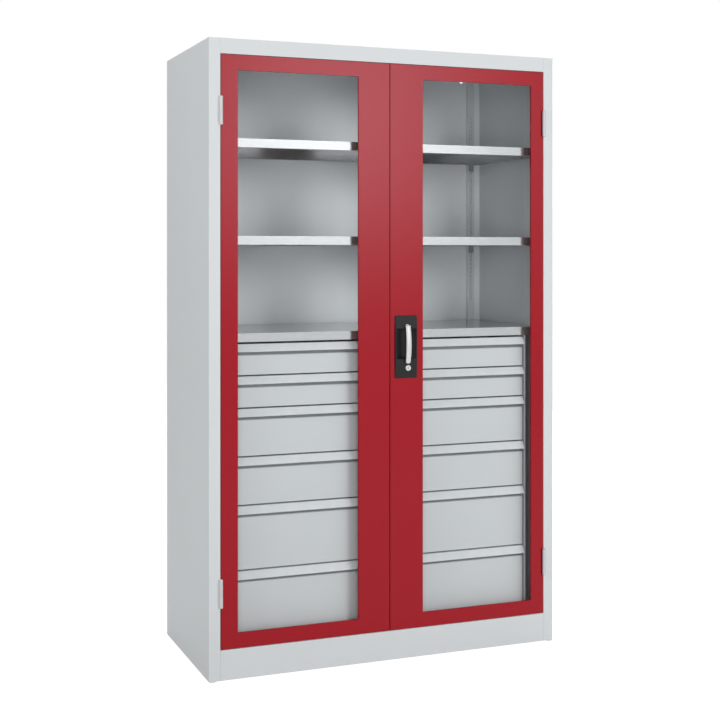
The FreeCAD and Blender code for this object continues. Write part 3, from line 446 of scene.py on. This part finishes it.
def colour_prop(label, description, default):
    """A colour setting."""
    return bpy.props.FloatVectorProperty(
        name=label, description=description, default=default, subtype="COLOR", size=3, min=0, max=1)


def length_prop(label, description, default):
    """A length setting, in metres."""
    return bpy.props.FloatProperty(
        name=label, description=description, default=default, min=0, subtype="DISTANCE", unit="LENGTH")


def place_prop(label, description, default):
    """A place or point setting, in metres."""
    return bpy.props.FloatVectorProperty(
        name=label, description=description, default=default, subtype="TRANSLATION", unit="LENGTH")


def power_prop(label, description, default):
    """A lamp power setting, in watts."""
    return bpy.props.FloatProperty(
        name=label, description=description, default=default, min=0, subtype="POWER", unit="POWER")


def share_prop(label, description, default):
    """A plain factor setting."""
    return bpy.props.FloatProperty(
        name=label, description=description, default=default, min=0, subtype="FACTOR")


def count_prop(label, description, default):
    """A setting that counts points or pieces, at least two."""
    return bpy.props.IntProperty(
        name=label, description=description, default=default, min=2, subtype="UNSIGNED")


class CabinetFinish(bpy.types.PropertyGroup):
    """Colours, roughness and gloss of the finishes"""

    carcass: colour_prop("Carcass", "Powder coat of the carcass", (0.71, 0.741, 0.754))
    # painted light: the carcass grey lightened for the back panel, so the inside behind the glazing
    # reads brighter
    back: colour_prop("Back", "Carcass grey lightened as painted light for the back panel", (0.85, 0.887, 0.903))
    door: colour_prop("Doors", "Powder coat of the doors", (0.348, 0.003, 0.01))
    door_shine: colour_prop("Door shine", "Tint of the highlights on the doors", (1.0, 0.75, 0.82))
    drawer: colour_prop("Drawers", "Powder coat of the drawers", (0.64, 0.668, 0.68))
    zinc: colour_prop("Zinc", "Galvanised shelves and runners", (0.49, 0.502, 0.514))
    hinge: colour_prop("Hinges", "Hinge barrels", (0.61, 0.61, 0.62))
    dish: colour_prop("Dish", "Handle dish", (0.02, 0.02, 0.021))
    lever: colour_prop("Lever", "Handle lever and lock", (0.57, 0.57, 0.573))
    pane: colour_prop("Panes", "Window glazing", (0.985, 0.99, 0.99))
    pane_refraction: share_prop("Pane refraction", "Refractive index: how strongly panes mirror", 1.1)
    coat_roughness: share_prop("Coat roughness", "Roughness of the grey powder coats", 0.42)
    coat_gloss: share_prop("Coat gloss", "Specular level of the grey powder coats", 0.1)
    door_roughness: share_prop("Door roughness", "Roughness of the doors' coat", 0.28)
    door_gloss: share_prop("Door gloss", "Specular level of the doors' coat", 0.28)
    zinc_roughness: share_prop("Zinc roughness", "Roughness of the galvanised sheet", 0.16)
    zinc_metal: share_prop("Zinc metal", "How metallic the galvanised sheet is", 0.82)
    hinge_roughness: share_prop("Hinge roughness", "Roughness of the hinge barrels", 0.35)
    dish_roughness: share_prop("Dish roughness", "Roughness of the handle dish", 0.38)
    dish_gloss: share_prop("Dish gloss", "Specular level of the handle dish", 0.14)
    dish_ripple: share_prop("Dish ripple", "Strength of the dish's moulded grain", 0.8)
    lever_roughness: share_prop("Lever roughness", "Roughness of the brushed lever", 0.34)
    lever_metal: share_prop("Lever metal", "How metallic the brushed lever is", 0.35)


class CabinetDrawer(bpy.types.PropertyGroup):
    """Sizes of the folded drawer fronts"""

    sheet: length_prop("Sheet", "Thickness of the folded front", 0.0012)
    grip_height: length_prop("Grip height", "Top of the front down to the nose of the grip", 0.024)
    grip_reach: length_prop("Grip reach", "Nose of the grip in front of the face", 0.015)
    crown_reach: length_prop("Crown reach", "Top edge of the grip in front of the face", 0.002)
    hollow_depth: length_prop("Hollow depth", "Finger hollow behind the face", 0.020)
    ceiling_drop: length_prop("Ceiling drop", "Fall of the hollow's ceiling from nose to rear", 0.002)
    slope_height: length_prop("Slope height", "Height of the slope from the hollow to the face", 0.010)
    hang: length_prop("Hanging flange", "Height of the flange behind the top", 0.038)
    foot: length_prop("Foot flange", "Height of the flange behind the bottom", 0.018)
    fold_radius: length_prop("Fold radius", "Outer radius of the plain folds", 0.002)
    nose_radius: length_prop("Nose radius", "Outer radius of the grip's nose", 0.0016)
    hollow_radius: length_prop("Hollow radius", "Radius at the back of the hollow", 0.004)
    slope_radius: length_prop("Slope radius", "Radius where the slope meets the face", 0.004)
    # painted shade on the slope below the finger hollow
    slope_painted_shade: share_prop("Slope painted shade", "Painted shade where the slope starts to meet the face", 0.35)
    fold_steps: count_prop("Fold steps", "Points along each fold", 6)


class CabinetHandle(bpy.types.PropertyGroup):
    """Sizes of the dish, the lever and the lock's bead"""

    lever_thickness: length_prop("Lever thickness", "Thickness of the lever at its ends", 0.008)
    lever_end: length_prop("Lever end", "Length of the lever's rounded ends", 0.0055)
    lever_end_share: share_prop("End width", "Width of the lever's ends as a share of its middle", 0.9)
    lever_roundness: share_prop("Roundness", "Power of the lever's section: 2 is an ellipse", 2.5)
    dish_peak: length_prop("Dish peak", "Height of the dish above the door at the hollow", 0.006)
    dish_rim: length_prop("Dish rim", "Height of the dish above the door at its ends", 0.003)
    dish_edge: length_prop("Dish edge", "Radius of the dish's edges", 0.0024)
    dish_corner: length_prop("Dish corner", "Radius of the dish's corners", 0.004)
    hollow_low: length_prop("Hollow start", "Bottom of the dish up to the hollow", 0.0615)
    hollow_high: length_prop("Hollow end", "Bottom of the dish up to the hollow's top", 0.1585)
    hollow_mouth: length_prop("Hollow mouth", "Width of the hollow at its mouth", 0.070)
    hollow_depth: length_prop("Hollow depth", "Depth of the hollow below its mouth", 0.023)
    hollow_step: length_prop("Hollow step", "Run of the hollow's end walls", 0.003)
    hollow_power: share_prop("Hollow power", "Power of the cosine that shapes the hollow's sides", 0.8)
    dish_wall: length_prop("Dish wall", "Thickness of the moulded dish", 0.0014)
    bead_radius: length_prop("Bead radius", "Radius of the bead round the lock's face", 0.0082)
    bead_width: length_prop("Bead width", "Half width of that bead", 0.0009)
    bead_segments: count_prop("Bead segments", "Steps round that bead", 40)


class CabinetHardware(bpy.types.PropertyGroup):
    """Sizes of the hinge tips and the retainer screws"""

    hinge_height: length_prop("Hinge height", "Height of one hinge barrel", 0.084)
    barrel_radius: length_prop("Barrel radius", "Radius of a hinge barrel", 0.0055)
    pin_radius: length_prop("Pin radius", "Radius of a hinge pin", 0.003)
    tip_rise: length_prop("Tip rise", "Height of a barrel's domed tip", 0.0022)
    screw_radius: length_prop("Screw radius", "Radius of a retainer screw's head", 0.0034)
    screw_rise: length_prop("Screw rise", "Height of a retainer screw's head", 0.0018)
    screw_inset: length_prop("Screw inset", "Rim of the retainer to the screws", 0.009)
    screw_skirt: length_prop("Skirt", "How far heads and tips reach into what carries them", 0.0004)
    upright_screws: count_prop("Screws upright", "Screws along each tall side of a retainer", 7)
    segments: count_prop("Segments", "Steps round the hinge tips and screws", 20)


class CabinetStage(bpy.types.PropertyGroup):
    """Room, floor, soft boxes and camera"""

    ambient: share_prop("Ambient", "Strength of the white room", 0.1)
    floor_glow: share_prop("Floor glow", "Lift of the floor to the white background", 0.96)
    floor_grey: share_prop("Floor grey", "How much light the floor gives back", 0.5)
    floor_reach: length_prop("Floor reach", "Half side of the floor", 30.0)
    aim: place_prop("Aim", "Point that the lamps face", (0, 0, 1.0))
    left_place: place_prop("Left place", "Soft box at the front left", (-1.9, -4.8, 1.4))
    left_size: length_prop("Left size", "Side of the left soft box", 2.6)
    left_power: power_prop("Left power", "Power of the left soft box", 77)
    right_place: place_prop("Right place", "Soft box that the doors mirror", (1.58, -4.6, 2.32))
    right_size: length_prop("Right size", "Side of the right soft box", 1.6)
    right_power: power_prop("Right power", "Power of the right soft box", 79)
    edge_place: place_prop("Edge place", "Soft box at the far right", (3.6, -4.0, 2.0))
    edge_size: length_prop("Edge size", "Side of the far right soft box", 2.4)
    edge_power: power_prop("Edge power", "Power of the far right soft box", 30)
    rear_place: place_prop("Rear place", "Soft box behind the right wall", (4.2, 3.4, 2.8))
    rear_size: length_prop("Rear size", "Side of the rear soft box", 3.0)
    rear_power: power_prop("Rear power", "Power of the rear soft box", 260)
    top_place: place_prop("Top place", "Soft box over the cabinet", (0.0, 0.7, 5.0))
    top_size: length_prop("Top size", "Side of the soft box over the cabinet", 1.6)
    top_power: power_prop("Top power", "Power of the soft box over the cabinet", 60)
    side_place: place_prop("Side place", "Soft box beside the left wall", (-5.0, -1.0, 3.3))
    side_size: length_prop("Side size", "Side of the soft box beside the wall", 3.0)
    side_power: power_prop("Side power", "Power of the soft box beside the wall", 110)
    shine_place: place_prop("Shine place", "Weak soft box that the shelves mirror", (1.58, -4.6, 2.32))
    shine_size: length_prop("Shine size", "Side of the weak soft box", 2.0)
    shine_power: power_prop("Shine power", "Power of the weak soft box", 5)
    camera_place: place_prop("Camera", "Place of the lens", (-1.6497, -3.7878, 1.2986))
    camera_turn: bpy.props.FloatProperty(
        name="Turn", description="Turn of the level camera to the right", default=math.radians(20.005),
        subtype="ANGLE", unit="ROTATION")
    focal_px: bpy.props.FloatProperty(
        name="Focal length", description="Focal length in picture pixels", default=1221.7,
        subtype="PIXEL")
    axis_px: bpy.props.FloatVectorProperty(
        name="Optical axis", description="Where the lens axis meets the picture, in pixels",
        default=(283.14, 252.88), size=2, subtype="COORDINATES")


# steps


class CABINET_OT_finishes(bpy.types.Operator):
    """Give every CAD piece its finish"""

    bl_idname = "cabinet.finishes"
    bl_label = "Finishes"

    def execute(self, context):
        look = context.scene.cabinet_finish
        powder, zinc, brushed = powder_coat_group(), zinc_group(), brushed_group()
        grey = {"roughness": look.coat_roughness, "specular": look.coat_gloss}
        coated("carcass_grey_finish", powder, look.carcass, **grey)
        # the back panel gets a lightened copy of the carcass coat, painted light for the inside
        back = coated("back_grey_finish", powder, look.back, **grey)
        coated("ruby_red_finish", powder, look.door, look.door_roughness,
               specular=look.door_gloss, tint=look.door_shine)
        coated("drawer_grey_finish", powder, look.drawer, **grey)
        coated("zinc_steel_finish", zinc, look.zinc, look.zinc_roughness, metallic=look.zinc_metal)
        coated("hinge_grey_finish", powder, look.hinge, look.hinge_roughness)
        coated("dish_black_finish", powder, look.dish, look.dish_roughness,
               specular=look.dish_gloss, Ripple=look.dish_ripple)
        coated("lever_silver_finish", brushed, look.lever, look.lever_roughness,
               metallic=look.lever_metal)
        clear_pane("clear_pane_finish", look.pane, look.pane_refraction)
        for part in frame["record"]["subparts"]:
            dress(frame["nodes"][part["node"]], finish_of(part["material_slot"]))
        # the back panel takes that painted-light copy in place of its recorded grey
        dress(frame["nodes"]["back_panel"], back)
        return {"FINISHED"}


class CABINET_OT_drawer_fronts(bpy.types.Operator):
    """Fold the twelve drawer fronts with round bends"""

    bl_idname = "cabinet.drawer_fronts"
    bl_label = "Drawer fronts"

    def front(self, drawer, node):
        """
        One front, folded along a path: hanging flange, top, leaning grip, hollow, slope, face,
        bottom, foot flange, with an arc at each bend. The middle of each bend, and the grip between
        crown and nose, are marked lighter as rubbed wear with painted highlight; the hollow and its
        slope get painted shade.
        """
        low, high = corners(node)
        nose, rear, bottom, top = low[1], high[1], low[2], high[2]
        face = nose + drawer.grip_reach
        nose_z = top - drawer.grip_height
        ceiling_z = nose_z - drawer.ceiling_drop
        bends = [
            (rear, top - drawer.hang), (rear, top), (face - drawer.crown_reach, top), (nose, nose_z),
            (face + drawer.hollow_depth, ceiling_z), (face, ceiling_z - drawer.slope_height),
            (face, bottom), (rear, bottom), (rear, bottom + drawer.foot)]
        plain = drawer.fold_radius
        radii = [
            plain, plain, drawer.nose_radius, drawer.hollow_radius, drawer.slope_radius, plain, plain]
        path, marks = rounded_path(bends, radii, drawer.fold_steps)
        # fold and hollow are views with a row per bend, so what is set in them is set in marks and grime
        fold = marks[1:-1].reshape(len(radii), drawer.fold_steps)
        rise = np.linspace(0, 1, drawer.fold_steps)
        # painted highlight with rubbed wear: the grip lightens from the crown to the nose
        fold[CROWN] = np.maximum(fold[CROWN], rise)
        fold[NOSE] = np.maximum(fold[NOSE], rise[::-1])
        grime = np.zeros_like(marks)
        hollow = grime[1:-1].reshape(len(radii), drawer.fold_steps)
        # painted shade: full in the hollow, fading down the slope towards the face
        hollow[HOLLOW] = 1
        hollow[SLOPE] = drawer.slope_painted_shade * rise[::-1]
        points, faces = folded_sheet(path, drawer.sheet, (low[0], high[0]))
        around = [np.tile(np.concatenate([each, each[::-1]]), 2) for each in (marks, grime)]
        return smooth(put_mesh(node + "_folded", points, faces, fold=around[0], grime=around[1]))

    def execute(self, context):
        drawer = context.scene.cabinet_drawer
        for side in SIDES:
            for row in range(1, ROW_COUNT + 1):
                body = "%s_drawer_%d" % (side, row)
                piece = self.front(drawer, body + "_front")
                finished(piece, "drawer_grey", body)
                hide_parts(body + "_front")
        return {"FINISHED"}


class CABINET_OT_handle(bpy.types.Operator):
    """Mould the handle dish, sweep the lever and bead the lock's face"""

    bl_idname = "cabinet.handle"
    bl_label = "Handle"

    def dish(self, handle):
        """
        Height over the door on a grid of across and up lines: wedges that rise to the hollow, times a
        quarter round at the edge, less a trough whose depth is a power of a cosine across. Corner
        squares are drawn in to quarter discs.
        """
        low, high = corners("handle_dish")
        half, tall = (high[0] - low[0]) / 2, high[2] - low[2]
        edge, mouth, step = handle.dish_edge, handle.hollow_mouth / 2, handle.hollow_step
        begin, end = handle.hollow_low, handle.hollow_high
        swing = np.sin(np.linspace(0, math.pi / 2, EDGE_STEPS))
        across = np.concatenate([
            np.linspace(0, mouth, MOUTH_STEPS)[:-1], np.linspace(mouth, half - edge, RIM_STEPS)[:-1],
            half - edge + edge * swing])
        across = np.concatenate([-across[:0:-1], across])
        up = np.concatenate([
            edge - edge * swing[:0:-1],
            np.linspace(edge, begin, END_STEPS)[:-1],
            np.linspace(begin, begin + step, WALL_STEPS)[:-1],
            np.linspace(begin + step, end - step, TROUGH_STEPS)[:-1],
            np.linspace(end - step, end, WALL_STEPS)[:-1],
            np.linspace(end, tall - edge, END_STEPS)[:-1],
            tall - edge + edge * swing])
        x, z = np.meshgrid(across, up)
        inside = np.minimum(half - np.abs(x), np.minimum(z, tall - z))
        climb = np.clip(np.minimum(z / begin, (tall - z) / (tall - end)), 0, 1)
        height = handle.dish_rim + (handle.dish_peak - handle.dish_rim) * climb
        height = height * quarter_round(inside, edge)
        arch = np.cos(np.clip(np.abs(x) / mouth, 0, 1) * math.pi / 2)
        walls = smooth_step(z, begin, begin + step) * smooth_step(-z, -end, step - end)
        depth = handle.hollow_depth * np.clip(arch, 0, 1) ** handle.hollow_power * walls
        middle = tall / 2
        round_x = np.maximum(np.abs(x) - (half - handle.dish_corner), 0)
        round_z = np.maximum(np.abs(z - middle) - (middle - handle.dish_corner), 0)
        length = np.hypot(round_x, round_z)
        longer = np.maximum(round_x, round_z)
        draw_in = np.where(length > 0, longer / np.maximum(length, WELD_DISTANCE), 1)
        x = x - np.sign(x) * round_x * (1 - draw_in)
        z = z - np.sign(z - middle) * round_z * (1 - draw_in)
        door_face = low[1] + handle.dish_peak
        points = np.stack([low[0] + half + x, door_face - height + depth, low[2] + z], -1)
        piece = put_mesh("handle_dish_moulded", points, grid_faces(len(up), len(across))[:, ::-1])
        shell = piece.modifiers.new("wall", "SOLIDIFY")
        shell.thickness = handle.dish_wall
        shell.offset = -1
        return smooth(piece, DISH_SHARP_ANGLE)

    def lever(self, handle):
        """
        A rounded section carried up a bowed line. Across, a power of the cosine times half the width;
        in depth, a power of the sine times half the thickness; both shrink as a quarter circle at the
        ends, and the line bows forward as a parabola.
        """
        low, high = corners("handle_lever")
        half_thick = handle.lever_thickness / 2
        bow = high[1] - low[1] - handle.lever_thickness
        length = high[2] - low[2]
        swing = np.linspace(-math.pi / 2, math.pi / 2, LEVER_RINGS)
        along = (np.sin(swing) + 1) / 2 * length
        ends = quarter_round(np.minimum(along, length - along), handle.lever_end)
        share = along / length
        belly = 4 * share * (1 - share)
        taper = handle.lever_end_share + (1 - handle.lever_end_share) * belly
        wide = (high[0] - low[0]) / 2 * taper * ends
        line_y = high[1] - half_thick - bow * belly
        angle = np.linspace(0, 2 * math.pi, LEVER_SIDES, endpoint=False)
        power = 2 / handle.lever_roundness
        round_x = np.sign(np.cos(angle)) * np.abs(np.cos(angle)) ** power
        round_y = np.sign(np.sin(angle)) * np.abs(np.sin(angle)) ** power
        points = np.empty((len(along), len(angle), 3))
        points[..., 0] = (low[0] + high[0]) / 2 + wide[:, None] * round_x
        points[..., 1] = line_y[:, None] + half_thick * ends[:, None] * round_y
        points[..., 2] = low[2] + along[:, None]
        faces = grid_faces(LEVER_RINGS, LEVER_SIDES, wrap_columns=True)
        return smooth(put_mesh("handle_lever_swept", points, faces))

    def bead(self, handle):
        """A ring round the face of the lock: a small circle turned about the key's axis."""
        low, high = corners("lock_cylinder")
        head = (high[0] - low[0]) / 2
        angle = np.linspace(0, 2 * math.pi, BEAD_SIDES, endpoint=False)
        circle = np.stack([handle.bead_radius + handle.bead_width * np.cos(angle),
                           handle.bead_width * np.sin(angle)], -1)
        centre = (low[0] + head, low[1], high[2] - head)
        points, faces = turned(circle, [centre], (0, -1, 0), handle.bead_segments, closed=True)
        return smooth(put_mesh("lock_face_bead", points, faces))

    def execute(self, context):
        handle = context.scene.cabinet_handle
        dish = finished(self.dish(handle), "dish_black", "right_door")
        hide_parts("handle_dish")
        lever = finished(self.lever(handle), "lever_silver", "handle_lever")
        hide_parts("handle_lever")
        finished(self.bead(handle), "lever_silver", "key_lock")
        return {"FINISHED"}


class CABINET_OT_hardware(bpy.types.Operator):
    """Add the hinge tips and the screws of the window retainers"""

    bl_idname = "cabinet.hardware"
    bl_label = "Hardware"

    def tips(self, hardware, name, places, up):
        """Domed tips on hinge barrels: a quarter ellipse turned about each hinge's axis."""
        profile = dome(hardware.barrel_radius, hardware.tip_rise, hardware.screw_skirt, TIP_STEPS)
        points, faces = turned(profile, places, (0, 0, up), hardware.segments)
        return smooth(put_mesh(name, points, faces))

    def screws(self, hardware, side):
        """Pan heads round a retainer: a quarter ellipse turned about each screw's axis."""
        low, high = corners(side + "_window_retainer")
        inset = hardware.screw_inset
        x = np.array([low[0] + inset, high[0] - inset])
        z = np.linspace(low[2] + inset, high[2] - inset, hardware.upright_screws)
        tall = np.stack(np.meshgrid(x, z), -1).reshape(-1, 2)
        ends = np.stack([np.full(2, x.mean()), z[[0, -1]]], -1)
        flat = np.vstack([tall, ends])
        places = np.insert(flat, 1, high[1], axis=1)
        profile = dome(hardware.screw_radius, hardware.screw_rise, hardware.screw_skirt, SCREW_STEPS)
        points, faces = turned(profile, places, (0, 1, 0), hardware.segments)
        return smooth(put_mesh(side + "_retainer_screws", points, faces))

    def execute(self, context):
        hardware = context.scene.cabinet_hardware
        low, high = corners("hinge_pins")
        axis_y = (low[1] + high[1]) / 2
        tops = (low[2] + hardware.hinge_height, high[2])
        bottoms = (low[2], high[2] - hardware.hinge_height)
        axes = {"left": low[0] + hardware.pin_radius, "right": high[0] - hardware.pin_radius}
        for side, axis_x in axes.items():
            places = [(axis_x, axis_y, z) for z in tops]
            tips = self.tips(hardware, side + "_door_hinge_tips", places, 1)
            finished(tips, "hinge_grey", side + "_door")
            finished(self.screws(hardware, side), "zinc_steel", side + "_door")
        places = [(axis_x, axis_y, z) for axis_x in axes.values() for z in bottoms]
        finished(self.tips(hardware, "frame_hinge_tips", places, -1), "hinge_grey", "carcass")
        return {"FINISHED"}


class CABINET_OT_stage(bpy.types.Operator):
    """Add the floor, the lights and the camera"""

    bl_idname = "cabinet.stage"
    bl_label = "Stage"

    def lamp(self, scene, stage, name, mirrored, glazed):
        """A square soft box that faces the aim point, shown or not in gloss and through the panes."""
        place = Vector(getattr(stage, name + "_place"))
        data = bpy.data.lights.new(name + "_soft_box", "AREA")
        data.size = getattr(stage, name + "_size")
        data.energy = getattr(stage, name + "_power")
        thing = bpy.data.objects.new(name + "_soft_box", data)
        thing.location = place
        thing.rotation_euler = (Vector(stage.aim) - place).to_track_quat("-Z", "Y").to_euler()
        thing.visible_glossy = mirrored
        thing.visible_transmission = glazed
        scene.collection.objects.link(thing)

    def seen(self, tree, *ways):
        """1 for rays of any of the named kinds."""
        path = add(tree, "ShaderNodeLightPath")
        result = path.outputs[ways[0]]
        for way in ways[1:]:
            either = add(tree, "ShaderNodeMath", operation="MAXIMUM")
            tree.links.new(result, either.inputs[0])
            tree.links.new(path.outputs[way], either.inputs[1])
            result = either.outputs["Value"]
        return result

    def floor(self, stage):
        """A wide square that shows white apart from shadows and gives back light as a grey."""
        shape = np.array([[-1, -1, 0], [1, -1, 0], [1, 1, 0], [-1, 1, 0]])
        thing = put_mesh("studio_floor", shape * stage.floor_reach, [(0, 1, 2, 3)])
        material = bpy.data.materials.new("studio_floor_paint")
        material.use_nodes = True
        tree = material.node_tree
        shader = tree.nodes["Principled BSDF"]
        grey = stage.floor_grey
        shader.inputs["Base Color"].default_value = (grey, grey, grey, 1)
        shader.inputs["Roughness"].default_value = FLOOR_ROUGHNESS
        shader.inputs["Specular IOR Level"].default_value = 0.0
        shader.inputs["Emission Color"].default_value = (*WHITE, 1)
        shown = self.seen(tree, *BACKDROP_RAYS)
        tree.links.new(spread(tree, shown, 0.0, stage.floor_glow), shader.inputs["Emission Strength"])
        dress(thing, material)

    def world(self, scene, stage):
        """A white room that shows at full strength and lights the object at its ambient strength."""
        world = bpy.data.worlds.new("white_room")
        scene.world = world
        world.use_nodes = True
        tree = world.node_tree
        sky = tree.nodes["Background"]
        sky.inputs["Color"].default_value = (*WHITE, 1)
        shown = self.seen(tree, *BACKDROP_RAYS)
        tree.links.new(spread(tree, shown, stage.ambient, 1.0), sky.inputs["Strength"])

    def camera(self, scene, stage):
        """A level camera, whose lens shift moves its axis to its place in the picture."""
        data = bpy.data.cameras.new("photo_camera")
        data.sensor_width = SENSOR_WIDTH
        data.lens = SENSOR_WIDTH * stage.focal_px / PHOTO_SIZE
        data.shift_x = PHOTO_MIDDLE - stage.axis_px[0] / PHOTO_SIZE
        data.shift_y = stage.axis_px[1] / PHOTO_SIZE - PHOTO_MIDDLE
        camera = bpy.data.objects.new("photo_camera", data)
        camera.location = stage.camera_place
        camera.rotation_euler = (LEVEL_TILT, 0, -stage.camera_turn)
        scene.collection.objects.link(camera)
        scene.camera = camera

    def execute(self, context):
        scene = context.scene
        stage = scene.cabinet_stage
        scene.view_settings.view_transform = "Standard"
        self.floor(stage)
        self.world(scene, stage)
        for name in ("side", "rear", "top", "shine"):
            self.lamp(scene, stage, name, mirrored=True, glazed=True)
        self.lamp(scene, stage, "right", mirrored=True, glazed=False)
        for name in ("left", "edge"):
            self.lamp(scene, stage, name, mirrored=False, glazed=False)
        self.camera(scene, stage)
        return {"FINISHED"}


class CABINET_PT_panel(bpy.types.Panel):
    """Steps that dress the cabinet"""

    bl_label = "Cabinet"
    bl_idname = "CABINET_PT_panel"
    bl_space_type = "VIEW_3D"
    bl_region_type = "UI"
    bl_category = "Cabinet"

    def draw(self, context):
        for step in STEPS:
            self.layout.operator(step.bl_idname)


SETTINGS = {
    "cabinet_finish": CabinetFinish,
    "cabinet_drawer": CabinetDrawer,
    "cabinet_handle": CabinetHandle,
    "cabinet_hardware": CabinetHardware,
    "cabinet_stage": CabinetStage,
}
STEPS = (
    CABINET_OT_finishes,
    CABINET_OT_drawer_fronts,
    CABINET_OT_handle,
    CABINET_OT_hardware,
    CABINET_OT_stage,
)
CLASSES = (*SETTINGS.values(), *STEPS, CABINET_PT_panel)


def register():
    """Adds the classes, and the settings to the scene."""
    for cls in CLASSES:
        bpy.utils.register_class(cls)
    for name, kind in SETTINGS.items():
        setattr(bpy.types.Scene, name, bpy.props.PointerProperty(type=kind))


def unregister():
    """Takes the settings and the classes away again."""
    for name in SETTINGS:
        delattr(bpy.types.Scene, name)
    for cls in reversed(CLASSES):
        bpy.utils.unregister_class(cls)


def main():
    """Runs every step in order."""
    register()
    bpy.ops.cabinet.finishes()
    bpy.ops.cabinet.drawer_fronts()
    bpy.ops.cabinet.handle()
    bpy.ops.cabinet.hardware()
    bpy.ops.cabinet.stage()


if __name__ == "__main__":
    main()
